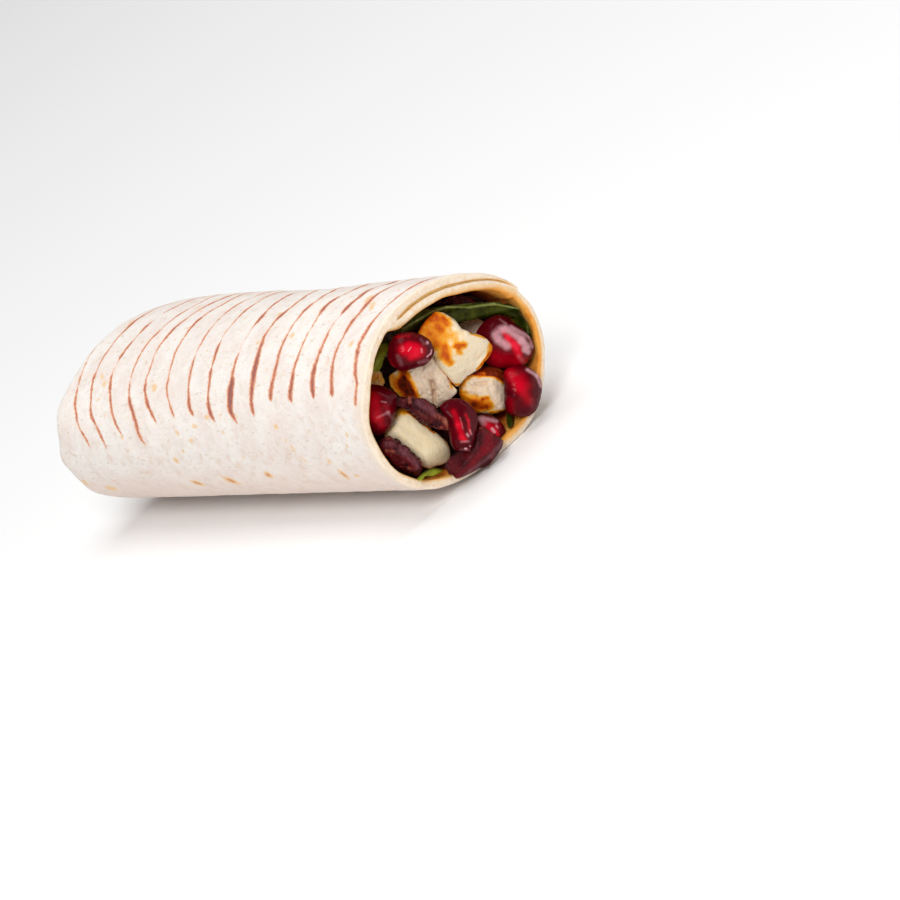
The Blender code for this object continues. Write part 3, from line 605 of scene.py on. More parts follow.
def set_stops(ramp, stops):
    """Give a colour ramp its stops, as (place, colour)."""
    while len(ramp.elements) < len(stops):
        ramp.elements.new(0.5)
    for element, (place, tint) in zip(ramp.elements, stops):
        element.position = place
        element.color = tint


def set_curve(mapping, knots):
    """Draw a curve through (x, y) knots, level beyond its ends."""
    mapping.extend = "HORIZONTAL"
    line = mapping.curves[0]
    while len(line.points) < len(knots):
        line.points.new(0.5, 0.5)
    for point, (x, y) in zip(line.points, sorted(knots)):
        point.location = (x, y)
        point.handle_type = "AUTO_CLAMPED"
    mapping.update()


# ---------------------------------------------------------------------------------------------------------
# The tortilla


def past(angle, end):
    """How far round past that end of the sheet an angle lies, from -180 to 180 degrees."""
    return (angle - end + 180.0) % 360.0 - 180.0


def after(angle, end):
    """0 before that angle of the sheet and 1 after it, over the steep step between."""
    return smooth_step((past(angle, end) + STEP_HALF_ANGLE) / (2.0 * STEP_HALF_ANGLE))


def overlap(angle):
    """1 where two layers of the sheet lie over each other, and 0 elsewhere."""
    within = (angle > FLAP_END - 20.0) & (angle < INNER_END + 20.0)
    return np.where(within, after(angle, FLAP_END) * (1.0 - after(angle, INNER_END)), 0.0)


def waves_round(angle, waves):
    """Waves round the roll added up. Each is (how many, height, phase in degrees)."""
    return sum(height * np.cos(np.radians(many * angle - phase)) for many, height, phase in waves)


def skin_offset(angle, share):
    """How far the outer skin stands off the mean oval: it climbs round the roll and drops at the flap, and
    near the cut it is out of round."""
    climbed = ((FLAP_END - angle) % 360.0) / 360.0
    on_step = np.abs(past(angle, FLAP_END)) < STEP_HALF_ANGLE
    turned = np.where(on_step, after(angle, FLAP_END), climbed)
    return FLAP_STEP * (turned - 0.5) + waves_round(angle, OUT_OF_ROUND) * (1.0 - share)


def flap_thickness(angle):
    """The outer layer's thickness where it overlaps: thin at the pressed edge, then the full sheet."""
    return FLAP_STEP + (SHEET - FLAP_STEP) * smooth_step((angle - FLAP_END) / FLAP_TAPER)


def wall_thickness(angle):
    """From the outer skin to the inner surface: one layer, or two with the gap between."""
    return SHEET + overlap(angle) * (flap_thickness(angle) + LAYER_GAP)


def torn_wall(angle):
    """The same, but the inner layer thins out past its end, as a torn sheet does, and its surface waves."""
    thinned = smooth_step((INNER_END + TORN_END - angle) / (TORN_END + STEP_HALF_ANGLE))
    within = (angle > INNER_END - STEP_HALF_ANGLE) & (angle < INNER_END + TORN_END)
    second = np.where(within, thinned, overlap(angle))
    return SHEET + second * (flap_thickness(angle) + LAYER_GAP) + waves_round(angle, WALL_WAVES)


def bulge(angle, back):
    """The filling's gentle lumps in the skin, as two crossed waves; the pressed underside stays flat."""
    turn = np.radians(angle)
    wave = np.sin(3.0 * turn + 55.0 * back) + 0.7 * np.sin(2.0 * turn - 95.0 * back + 1.3)
    return SWELL * wave * smooth_step(0.5 + 0.8 * np.sin(turn))


def half_sizes(sine, share):
    """Half width and half height of the mean oval, share of the way to the folded end."""
    far_height = FAR_SAG + (FAR_FLATTENING - FAR_SAG) * smooth_step(0.5 + 0.6 * sine)
    return (CUT_HALF_WIDTH * (1.0 + (FAR_WIDENING - 1.0) * share),
            CUT_HALF_HEIGHT * (1.0 + (far_height - 1.0) * share))


def flap_sway(angle, back):
    """How far round the sheet's pressed edge strays from its straight line, in degrees: two waves along the
    roll that die out beside the edge and near the cut."""
    wave = 2.2 * np.sin(back / (9.5 * MM)) + 1.2 * np.sin(back / (4.1 * MM) + 1.0)
    beside = smooth_step(1.3 - np.abs(past(angle, FLAP_END)) / 20.0)
    return wave * beside * smooth_step((back - 6.0 * MM) / (14.0 * MM))


def section(angle, back, depth):
    """Points of the roll's section: on the mean oval, moved in by depth along its normal, and held above the
    flattened underside. The last axis is (across, height)."""
    share = np.minimum(back, TUBE) / TUBE
    turn = np.radians(angle + flap_sway(angle, back))
    half_width, half_height = half_sizes(np.sin(turn), share)
    normal = np.stack([np.cos(turn) / half_width, np.sin(turn) / half_height], axis=-1)
    normal /= np.linalg.norm(normal, axis=-1, keepdims=True)
    reach = skin_offset(angle, share) + bulge(angle, back) - depth
    oval = np.stack([half_width * np.cos(turn), half_height * np.sin(turn)], axis=-1)
    spot = oval + reach[..., None] * normal
    spot[..., 1] = np.maximum(spot[..., 1], -(REST_DEPTH - np.maximum(depth, 0.0)))
    return spot


def stand(spot, back):
    """Section points at their distance behind the cut, in the object's frame."""
    back = np.broadcast_to(back, spot.shape[:-1])
    return np.stack([AXIS[0] - back, AXIS[1] + spot[..., 0], AXIS[2] + spot[..., 1]], axis=-1)


def rim_back(angle):
    """The knife leaves the cut edge slightly ragged, and one side of it stands forward."""
    turn = np.radians(angle)
    forward = FORWARD_EDGE * np.exp(-((angle - FORWARD_SIDE) / FORWARD_SPREAD) ** 2)
    return CUT_RAGGED * (1.0 + 0.6 * np.sin(3.0 * turn + 1.0) + 0.4 * np.sin(7.0 * turn)) - forward


def tuck(angle, scale):
    """The folded end's relief: a snail-shell ramp that drops at its spiral fold, flat at pole and edge."""
    phase = ((angle - 70.0 - TUCK_TURN * (1.0 - scale)) % 360.0) / 360.0
    ramp = (1.0 - phase) * smooth_step(phase / TUCK_EDGE)
    fade = smooth_step((1.0 - scale) / 0.25) * smooth_step(scale / 0.3)
    return TUCK_HEIGHT * ramp * fade


def dome_profile(start, depth, steps):
    """(back, scale) of each ring of a rounded end, a superellipse in profile, from beside its pole."""
    turn = 0.5 * math.pi * np.arange(steps - 1, 0, -1) / steps
    return start + depth * np.sin(turn) ** (2.0 / DOME_POWER), np.cos(turn) ** (2.0 / DOME_POWER)


def roll_angles():
    """Angles round the roll, closer together at the two ends of the sheet."""
    even = np.arange(0.0, 360.0, ANGLE_STEP)
    parts = [even[(np.abs(even - FLAP_END) > END_ZONE) & (np.abs(even - INNER_END) > END_ZONE)]]
    parts += [end + END_ANGLES for end in (FLAP_END, INNER_END)]
    return np.sort(np.concatenate(parts))


def skin_relief(angle, back):
    """How far the baked skin stands out, in metres: slack lumps of 10 and 3 mm, creases that run slanted
    across the sheet, an edge that waves near the cut, and shallow pleats round the folded end."""
    spot = stand(section(angle, back, np.zeros_like(angle)), back)
    height = sum(tall * rough(spot, size, seed) for tall, size, seed in SKIN_LUMPS)
    round_sheet = MM_PER_DEGREE * angle
    along = back / MM + 0.6 * round_sheet
    aside = 0.25 * (round_sheet - 0.6 * back / MM)
    creases = cloud(np.stack([along, aside, 0.0 * back], axis=-1), 1.3, 11)
    height += CREASE_HEIGHT * creases * smooth_step((angle - 95.0) / 40.0)
    height += RIM_WAVE * rough(spot, 5.0 * MM, 15) * smooth_step(1.2 - back / (9.0 * MM))
    pleats = np.sin(np.radians(PLEATS * angle) + 2.0 * np.sin(np.radians(2.0 * angle)))
    at_fold = smooth_step((back - TUBE + PLEAT_REACH) / PLEAT_REACH)
    at_fold = at_fold * smooth_step((LENGTH - back) / (4.0 * MM))
    height += PLEAT_DEPTH * (pleats - 1.0) * at_fold
    return (height - SKIN_INSET) * smooth_step(0.5 + 1.2 * (np.sin(np.radians(angle)) + 0.75))


def rim_profile(angle):
    """Points over the cut edge at each angle, as (depth from the skin, back from the rim): the outer corner,
    the outer layer's face, the gap sunk between the layers, the inner layer's face and a broad inner corner.
    Where there is one layer the gap closes. The mark "layer" comes third: it grows over the face, and more
    so where the filling's juice spread into the sheet."""
    whole = torn_wall(angle)
    lap = np.clip((whole - SHEET) / (flap_thickness(angle) + LAYER_GAP), 0.0, 1.0)
    open_gap = smooth_step((angle - FLAP_END - 2.0) / 8.0) * smooth_step((INNER_END + 1.0 - angle) / 6.0)
    open_gap = np.where((angle > FLAP_END) & (angle < INNER_END + 1.0), open_gap, 0.0)
    near = lap * flap_thickness(angle) + (1.0 - lap) * 0.5 * SHEET
    gap = (0.02 + open_gap * (0.2 + 0.26 * smooth_step((angle - 35.0) / 45.0))) * MM
    sunk = (0.01 + open_gap * 0.55) * MM
    lip = 0.4 * MM * open_gap
    corner = np.minimum(0.5 * MM, 0.45 * near)
    flat = 0.0 * angle
    juicy = (0.5 + 0.5 * np.cos(np.radians(angle + JUICY_SIDE))) ** 2
    turns = np.radians([0.0, 18.0, 36.0, 54.0, 72.0, 90.0])
    rows = [(corner * (1.0 - math.cos(turn)), corner * (1.0 - math.sin(turn)), flat + layer)
            for turn, layer in zip(turns, (0.0, 0.2, 0.4, 0.6, 0.8, 1.0))]
    rows += [(corner + share * (near - lip - corner), flat, 1.0 + 0.35 * juicy) for share in (0.35, 0.7)]
    rows += [(near - lip, 0.05 * lip, flat + 1.15), (near - 0.4 * lip, 0.25 * lip, flat + 1.4),
             (near, 0.8 * lip, flat + 1.7), (near, lip + 0.3 * sunk, flat + 2.3), (near, sunk, flat + 3.0),
             (near + gap, sunk, flat + 3.0), (near + gap, lip + 0.3 * sunk, flat + 2.3),
             (near + gap, 0.8 * lip, flat + 1.4), (near + gap + 0.4 * lip, 0.25 * lip, flat + 1.2),
             (near + gap + lip, 0.05 * lip, flat + 1.05)]
    face = near + gap + lip
    bend = np.minimum(1.2 * MM, 0.7 * (whole - face))
    rows += [(face + share * (whole - bend - face), flat, 1.05 + 0.3 * juicy + share * (0.1 + 0.5 * juicy))
             for share in (0.35, 0.7)]
    rows += [(whole - bend * (1.0 - math.sin(turn)), 0.9 * bend * (1.0 - math.cos(turn)),
              1.1 + 0.75 * juicy + math.sin(turn) * (0.75 - 0.55 * juicy))
             for turn in np.radians([0.0, 15.0, 30.0, 45.0, 60.0, 75.0, 90.0])]
    return tuple(np.array([row[part] for row in rows]) for part in range(3))


def make_tortilla():
    """One closed skin: along the outer surface from the folded end, over the cut edge with the gap between
    the layers sunk into it, and back along the inner surface. Its mark "layer" is 0 on the skin, 1 on the
    cut edge, 2 on the inside and 3 deep in the gap."""
    angles = roll_angles()
    backs, scales = dome_profile(TUBE, DOME, DOME_RINGS)
    angle, back = np.meshgrid(angles, backs)
    scale = np.broadcast_to(scales[:, None], angle.shape)
    relief = skin_relief(angle, back)
    dome = stand(section(angle, np.full_like(angle, TUBE), -relief) * scale[..., None],
                 back - tuck(angle, scale) + relief)
    dome_back = back

    angle, back = np.meshgrid(angles, np.linspace(TUBE, TUBE_END, TUBE_RINGS))
    tube = stand(section(angle, back, -skin_relief(angle, back)), back)
    tube_back = back

    depth, behind, rim_layers = rim_profile(angles)
    angle = np.broadcast_to(angles, depth.shape)
    edge = stand(section(angle, np.zeros_like(depth), depth), 0.0)
    ragged = rim_back(angle) + RAGGED_RELIEF * rough(edge, 2.6 * MM, 21)
    edge_share = np.linspace(0.0, 1.0, len(depth))[:, None]
    fade = smooth_step(edge_share / 0.15) * smooth_step((1.0 - edge_share) / 0.15)
    edge_back = behind + ragged + CRUMB_RELIEF * fade * rough(edge, 0.9 * MM, 25)
    relief = skin_relief(angle, edge_back) * (1.0 - smooth_step(edge_share / 0.25))
    rim = stand(section(angle, edge_back, depth - relief), edge_back)

    angle, back = np.meshgrid(angles, np.append(INNER_BACKS, INNER_TUBE))
    depth = torn_wall(angle)
    plain = stand(section(angle, back, depth), back)
    wall = stand(section(angle, back, depth - WALL_RELIEF * rough(plain, 3.0 * MM, 31)), back)
    wall_back = back

    cap_backs, scales = dome_profile(INNER_TUBE, INNER_DOME, CAP_RINGS)
    angle, back = np.meshgrid(angles, cap_backs[::-1])
    scale = scales[::-1][:, None, None]
    cap = stand(section(angle, np.full_like(angle, TUBE), wall_thickness(angle)) * scale, back)

    rings = np.clip(np.concatenate([dome, tube, rim, wall, cap]), *cad_box)
    backs = np.concatenate([dome_back, tube_back, edge_back, wall_back, back])
    angle = np.broadcast_to(angles, backs.shape)
    counts = [len(dome) + len(tube), len(wall) + len(cap)]
    around = len(angles)
    layer = np.concatenate([np.zeros((counts[0], around)), rim_layers, np.full((counts[1], around), 2.0)])
    marks = {"layer": layer, "toast": freckle_cover(angle, backs)}
    poles = stand(np.zeros((2, 2)), np.array([LENGTH, INNER_POLE]))
    uv = np.stack([angle / 360.0, backs / LENGTH], axis=-1)
    return closed_skin("tortilla_skin", rings, poles, marks, uv)


def freckle_cover(angle, back):
    """How strongly the freckles cover each point of the sheet: a bell over each one's leaning oval."""
    cover = np.zeros_like(back)
    for middle, station, length, width, lean, strength in FRECKLES:
        round_sheet = MM_PER_DEGREE * (angle - middle)
        along = back / MM - station
        turn = math.radians(lean)
        run = along * math.cos(turn) - round_sheet * math.sin(turn)
        rise = along * math.sin(turn) + round_sheet * math.cos(turn)
        cover = np.maximum(cover, strength * np.exp(-(run / length) ** 2 - (rise / width) ** 2))
    return cover


def grill_marks(finish, angle, back):
    """How deep inside a grill mark each point lies, in millimetres: half the mark's width there less the
    distance to its middle line, both drawn as curves over the angle."""
    low, high = MARK_ANGLES
    thin, wide = WIDTH_RANGE
    share = (angle - low) / (high - low)
    deepest = None
    for knots in GRILL_MARKS:
        path = [((turn - low) / (high - low), station / (LENGTH / MM)) for turn, station, _ in knots]
        widths = [((turn - low) / (high - low), (width - thin) / (wide - thin)) for turn, _, width in knots]
        middle = finish.curve(share, path) * (LENGTH / MM)
        width = finish.curve(share, widths) * (wide - thin) + thin
        inside = width * 0.5 - (back - middle).size()
        deepest = inside if deepest is None else deepest.most(inside)
    return deepest


def skin_colours(finish, spot, angle, back):
    """The skin without its marks: cream mottling with beige patches, dark specks, flour and tan dots, painted
    shade that makes it darker and pinker underneath, freckled where the rows say, baked brown behind and warm
    beside the cut. The height of its bumps comes second."""
    mottle = finish.noise(spot, 8.0, 4.0, 0.6)
    base = finish.mix(mottle.step(0.36, 0.66), colour(246, 239, 232), colour(240, 227, 219))
    patch = finish.noise(spot, 2.4, 3.0, 0.6)
    low_side = angle.step(140.0, 185.0)
    base = finish.mix(patch.step(0.48, 0.7) * (low_side * 0.4 + 0.4), base, colour(232, 212, 197))
    grain = finish.stretch(spot, (0.0, 35.0, 0.0), (0.5, 1.0, 1.6))
    speck = finish.noise(grain, 0.9, 3.0, 0.65)
    base = finish.mix(speck.step(0.58, 0.72) * 0.6, base, colour(206, 184, 156))
    flour = finish.noise(spot, 0.7, 3.0, 0.7)
    base = finish.mix(flour.step(0.5, 0.72) * 0.45, base, colour(252, 248, 244))
    dots = finish.noise(spot, 1.5, 2.0)
    base = finish.mix(dots.step(0.66, 0.76) * 0.6, base, colour(238, 196, 150))
    # Painted shade: the underside is tinted darker and pinker.
    painted_underside_shade = angle.step(176.0, 206.0) * angle.step(352.0, 330.0)
    base = finish.mix(painted_underside_shade * 0.6, base, colour(232, 210, 198))
    crisp = finish.noise(spot, 1.2, 3.0, 0.65)
    toast = finish.mark("toast") + (crisp - 0.5) * 0.7
    base = finish.mix(toast.step(0.2, 0.65) * 0.85, base, colour(242, 202, 150))
    base = finish.mix(toast.step(0.7, 1.15) * 0.85, base, colour(214, 150, 94))
    baked = finish.noise(spot, 3.6, 2.0)
    behind = angle.step(84.0, 70.0).most(angle.step(206.0, 222.0))
    base = finish.mix(baked.step(0.62, 0.74) * behind * 0.7, base, colour(234, 190, 142))
    warm = finish.noise(spot, 2.6, 3.0, 0.6)
    near_cut = back.step(3.4, 0.2) * (warm.step(0.3, 0.6) * 0.6 + 0.3)
    base = finish.mix(near_cut, base, colour(242, 225, 204))
    return base, flour * 0.5 + speck * 0.3 + patch * 0.9 + mottle


def marked(finish, spot, skin, inside):
    """The skin with its grill marks: a pale orange fringe, salmon, then reddish brown and charred middles."""
    skin = finish.mix(inside.step(-0.4, 0.05) * 0.55, skin, colour(244, 194, 158))
    skin = finish.mix(inside.step(-0.1, 0.18), skin, colour(224, 152, 118))
    char = inside + (finish.noise(spot, 0.8, 2.0) - 0.5) * 0.6
    skin = finish.mix(char.step(0.2, 0.55), skin, colour(192, 114, 90))
    return finish.mix(char.step(0.42, 0.8) * 0.85, skin, colour(154, 98, 92))


def cut_colours(finish, spot, layer, crumb):
    """The cut edge: toasted cream crumb, soaked golden towards the filling, with spots of crust."""
    blotch = finish.noise(spot, 2.4, 3.0, 0.6)
    cut = finish.mix(crumb.step(0.35, 0.7), colour(247, 230, 210), colour(240, 217, 188))
    soaked = layer + (blotch - 0.5) * 0.9 + (crumb - 0.5) * 0.3
    cut = finish.mix(soaked.step(1.1, 1.55) * 0.85, cut, colour(240, 200, 142))
    cut = finish.mix(soaked.step(1.5, 1.95), cut, colour(236, 176, 100))
    crust = finish.noise(spot, 0.8, 3.0, 0.6) + (layer - 1.0).size() * -0.1
    return finish.mix(crust.step(0.6, 0.74) * 0.7, cut, colour(222, 166, 108))


def inner_colours(finish, spot, back):
    """The inside, stained golden by the filling, with painted shade that makes it darker and redder the
    deeper in.
    """
    stain = finish.noise(spot, 3.0, 4.0, 0.6)
    inner = finish.mix(stain.step(0.35, 0.68), colour(244, 174, 76), colour(230, 140, 36))
    # Painted shade, mottled by the stains: darker and redder the further into the roll.
    deep_shade = back * 0.12 + stain * 0.8
    return finish.mix(deep_shade.step(0.6, 1.5) * 0.85, inner, colour(212, 70, 0))


def tortilla_finish():
    """Pale baked flour sheet. The mark "layer" says where its skin, its cut edge, its inside and the gap
    between its layers show."""
    finish = Finish("tortilla_sheet")
    spot = finish.place()
    sheet = finish.node("ShaderNodeUVMap", {"uv_map": "sheet"})
    split = finish.node("ShaderNodeSeparateXYZ", None, {0: sheet})
    angle = split * 360.0
    back = Value(finish, split.socket.node.outputs[1]) * (LENGTH / MM)
    layer = finish.mark("layer")
    crumb = finish.noise(spot, 0.9, 4.0, 0.65)
    fray = (finish.noise(spot, 0.5, 3.0, 0.7) - 0.5) * 1.2 + (finish.noise(spot, 2.6, 3.0) - 0.5) + 0.03
    inside = grill_marks(finish, angle, back) + fray

    skin, bumps = skin_colours(finish, spot, angle, back)
    skin = marked(finish, spot, skin, inside)
    tint = finish.mix(layer.step(0.1, 1.0), skin, cut_colours(finish, spot, layer, crumb))
    tint = finish.mix(layer.step(1.6, 2.0), tint, inner_colours(finish, spot, back))
    tint = finish.mix(layer.step(2.0, 2.7), tint, colour(246, 206, 122))
    finish.set(Base_Color=tint, Roughness=0.72, Specular_IOR_Level=0.35)
    finish.set(Subsurface_Weight=0.12, Subsurface_Radius=(1.0, 0.6, 0.35), Subsurface_Scale=1.2 * MM)
    finish.relief(bumps + crumb * 0.5 - inside.step(-0.1, 0.4) * 0.4, 0.18)
    return finish.material


# ---------------------------------------------------------------------------------------------------------
# The filling


def core_depth(angle):
    """How deep under the skin the core lies: behind the thickest wall nearby, so that it also clears the step
    where the sheet's inner end stands into the roll."""
    near = [wall_thickness((angle + shift) % 360.0) for shift in (-STEP_MARGIN, 0.0, STEP_MARGIN)]
    return np.max(near, axis=0) + 1.5 * CLEARANCE


def hold_inside(points, margin=0.0):
    """Press the filling's points in from the wall. In front of the cut they may bulge over the rim, but they
    stay above what the wrap rests on."""
    back = AXIS[0] - points[..., 0]
    ahead = np.maximum(-back - CLEARANCE, 0.0)
    across, height = points[..., 1] - AXIS[1], points[..., 2] - AXIS[2]
    within = np.maximum(back, 0.0)
    half_width, half_height = half_sizes(np.copysign(1.0, height), within / TUBE)
    angle = np.degrees(np.arctan2(height / half_height, across / half_width)) % 360.0
    limit = np.linalg.norm(section(angle, within, core_depth(angle) + margin), axis=-1) + RIM_BULGE * ahead
    squeeze = np.minimum(1.0, limit / np.maximum(np.hypot(across, height), CLEARANCE))
    held_height = np.maximum(AXIS[2] + height * squeeze, CLEARANCE)
    return np.stack([points[..., 0], AXIS[1] + across * squeeze, held_height], axis=-1)


def carved(piece, power, soften, dents=(), rings=120, around=200):
    """A piece of the filling, and the way out of it at each point. Each ring is the outline drawn in towards
    the middle, the corners eased. The front stands out by the least of its faces' heights, softened where
    they meet, less its dents, and the back by half the depth; both fall to the outline as a superellipse."""
    spot, depth, lean, outline, faces = piece
    arms = np.array(outline) - np.array(spot[:2])
    bearing = np.arctan2(arms[:, 1], arms[:, 0])
    order = np.argsort(bearing)
    turn = 2.0 * math.pi * np.arange(around) / around
    reach = np.interp(turn, bearing[order], np.linalg.norm(arms, axis=1)[order], period=2.0 * math.pi)
    reach = (np.roll(reach, 1) + 2.0 * reach + np.roll(reach, -1)) / 4.0
    fall = math.pi * (np.arange(rings) + 0.5) / rings
    norm = (np.sin(fall) ** power + np.abs(np.cos(fall)) ** power) ** (1.0 / power)
    drawn, stand_out = np.sin(fall) / norm, np.cos(fall) / norm
    flat = drawn[:, None, None] * reach[:, None] * np.stack([np.cos(turn), np.sin(turn)], axis=-1)
    heights = np.array([height + flat @ np.array(rise) for height, *rise in faces])
    front = -soften * np.log(np.exp(-heights / soften).sum(axis=0))
    for start, end, half_width, sunk in dents:
        front -= sunk * bell(flat + np.array(spot[:2]), start, end, half_width)
    toward = stand_out[:, None] * np.where(stand_out[:, None] > 0.0, np.maximum(front, 0.3), 0.5 * depth)
    toward = toward + flat @ np.array(lean)
    points = seen(spot) + np.concatenate([flat, toward[..., None]], axis=-1) @ EYE.T * MM
    sideways = (flat / reach[:, None]) * (drawn ** 3)[:, None, None]
    ahead = np.broadcast_to((stand_out * (1.0 - drawn ** 6))[:, None, None], (rings, around, 1))
    out = np.concatenate([sideways, ahead], axis=-1)
    return points, (out / np.linalg.norm(out, axis=-1, keepdims=True)) @ EYE.T


def ring_ends(rings):
    """The two poles that close a set of rings."""
    return np.stack([rings[0].mean(axis=0), rings[-1].mean(axis=0)])


# What the pieces show, stroke by stroke: where a dent is pressed in, and where the fry pan browned the
# cheese, with two strokes of painted shade among the browning. Each row is a start and an end as (right,
# up), a half width in mm, and a depth in mm or a strength.
HALLOUMI_DENTS = (
    (((4.2, 3.6), (5.4, 4.6), 0.5, 0.4), ((1.2, 9.6), (1.6, 9.0), 0.6, 0.4)),
    (((-4.5, 0.8), (-4.1, -0.8), 0.5, 0.6), ((-4.2, -0.6), (-3.9, -2.2), 0.5, 1.3),
     ((-3.95, -2.0), (-3.75, -4.6), 0.3, 1.6), ((-3.7, -1.5), (-2.9, -2.3), 0.3, 0.6),
     ((-4.4, -0.4), (-5.4, 0.4), 0.32, 0.4), ((-5.0, -2.2), (-4.4, -3.4), 0.3, 0.3),
     ((-0.9, -1.4), (-0.4, -1.7), 0.4, 0.6), ((-6.4, 0.4), (-7.6, 1.0), 0.5, 0.3),
     ((-2.4, -1.8), (-1.6, -3.0), 0.4, 0.3), ((-6.8, -1.8), (-5.8, -2.6), 0.4, 0.3)),
    (((1.8, -2.6), (4.0, -3.0), 0.4, 0.35), ((4.0, -0.7), (5.8, -0.6), 0.35, 0.6),
     ((3.8, 0.0), (4.4, 0.2), 0.4, 0.4), ((6.4, -1.4), (6.8, -2.6), 0.5, 0.3),
     ((2.6, -0.6), (3.6, -1.4), 0.35, 0.35)),
    (((-9.8, -8.4), (-6.0, -12.0), 0.9, 0.25),),
    (),
    (),
)
HALLOUMI_BROWNING_AND_SHADE = (
    (((-6.1, 9.0), (-3.8, 12.1), 1.2, 0.32), ((-4.2, 11.4), (-1.4, 10.7), 0.9, 0.34),
     ((-3.3, 9.8), (-2.4, 9.2), 0.65, 0.4), ((-2.2, 11.4), (-1.5, 10.2), 0.45, 0.42),
     ((-3.6, 11.7), (-3.2, 11.2), 0.35, 0.36), ((-4.7, 8.4), (-3.5, 6.4), 1.0, 0.36),
     ((-2.9, 8.4), (-2.0, 5.0), 1.5, 0.26), ((-1.8, 6.1), (-1.6, 4.6), 0.6, 0.4),
     ((-1.9, 4.2), (-0.9, 3.2), 0.75, 0.45), ((0.4, 6.2), (1.8, 6.3), 0.55, 0.45),
     ((0.7, 5.8), (1.0, 4.9), 0.5, 0.36), ((-0.2, 6.0), (0.0, 6.0), 0.22, 0.3),
     ((-1.0, 8.6), (0.8, 7.0), 1.3, 0.14), ((-6.7, 8.9), (-5.3, 11.0), 0.3, 0.3),
     ((2.9, 8.5), (5.6, 7.8), 0.25, 0.3), ((6.9, 6.9), (6.6, 5.0), 0.5, 0.4),
     ((6.5, 5.0), (5.0, 2.8), 0.22, 0.62), ((5.0, 2.8), (4.2, 2.0), 0.2, 0.5),
     ((0.9, -0.9), (-0.3, -0.9), 0.2, 0.4), ((-0.3, -0.9), (-2.7, 1.9), 0.14, 0.6)),
    (((-9.7, 1.4), (-9.4, 0.2), 0.7, 0.62), ((-9.9, -0.6), (-9.0, -2.6), 1.0, 0.8),
     ((-8.6, -0.8), (-7.3, -3.4), 0.8, 0.7), ((-9.0, 1.4), (-8.3, 0.5), 0.4, 0.3),
     # The broad first stroke below is painted shade: a tan over the second piece's left face, which turns
     # from the light.
     ((-12.2, 0.6), (-10.8, -1.6), 1.0, 0.3), ((-0.9, -0.6), (-0.5, -1.6), 0.2, 0.35)),
    (((4.0, 1.8), (6.8, 2.2), 0.8, 0.8), ((6.6, 2.0), (9.0, 1.2), 0.8, 0.8),
     ((8.2, 0.6), (9.3, -0.2), 0.5, 0.7), ((3.2, 1.1), (4.6, 0.9), 0.4, 0.5),
     ((5.2, 0.9), (8.0, 0.8), 0.3, 0.5), ((6.2, 1.3), (7.4, 1.2), 0.4, 0.4),
     ((1.1, -2.8), (3.6, -5.3), 1.2, 0.42), ((4.0, -4.2), (6.2, -4.8), 1.1, 0.5),
     ((5.2, -3.6), (6.2, -3.3), 0.35, 0.4), ((1.4, -0.6), (2.4, 0.4), 0.6, 0.3),
     ((4.9, -5.3), (6.0, -5.1), 0.35, 0.3), ((6.8, -6.1), (9.4, -5.6), 0.22, 0.35),
     ((9.7, -4.6), (9.7, -1.0), 0.2, 0.2)),
    (((-8.6, -6.0), (-6.0, -8.1), 0.22, 0.8), ((-6.0, -8.1), (-3.8, -9.9), 0.18, 0.65),
     ((-10.6, -5.6), (-9.0, -6.0), 0.5, 0.3), ((-11.8, -7.4), (-9.8, -6.2), 0.7, 0.16),
     ((-1.6, -11.4), (-0.9, -12.8), 0.35, 0.15), ((-12.8, -10.0), (-12.2, -8.4), 0.6, 0.2)),
    # This stroke is painted shade: the fifth piece lies deep in the roll.
    (((-15.0, 0.4), (-13.4, 0.0), 1.6, 0.2),),
    (),
)
# The most that each piece is browned and shaded, how deep its torn surface is, in mm, and how yellow its
# cheese is: 0 milky white, 1 straw. The fifth piece's straw tint is painted shade, for a piece that lies
# deep in the roll.
HALLOUMI_MOST = (0.55, 0.84, 0.8, 0.7, 0.5, 0.5)
HALLOUMI_TORN = (0.12, 0.3, 0.2, 0.06, 0.16, 0.16)
HALLOUMI_STRAW = (0.4, 0.06, 0.12, 0.65, 0.9, 0.0)
# How square the cheese and the seeds are across, and over how many mm the faces of a piece blend.
HALLOUMI_SQUARENESS = 5.5
HALLOUMI_SOFTNESS = 0.28
SEED_SQUARENESS = 2.5
SEED_SOFTNESS = 0.35
BEETROOT_SOFTNESS = 0.2
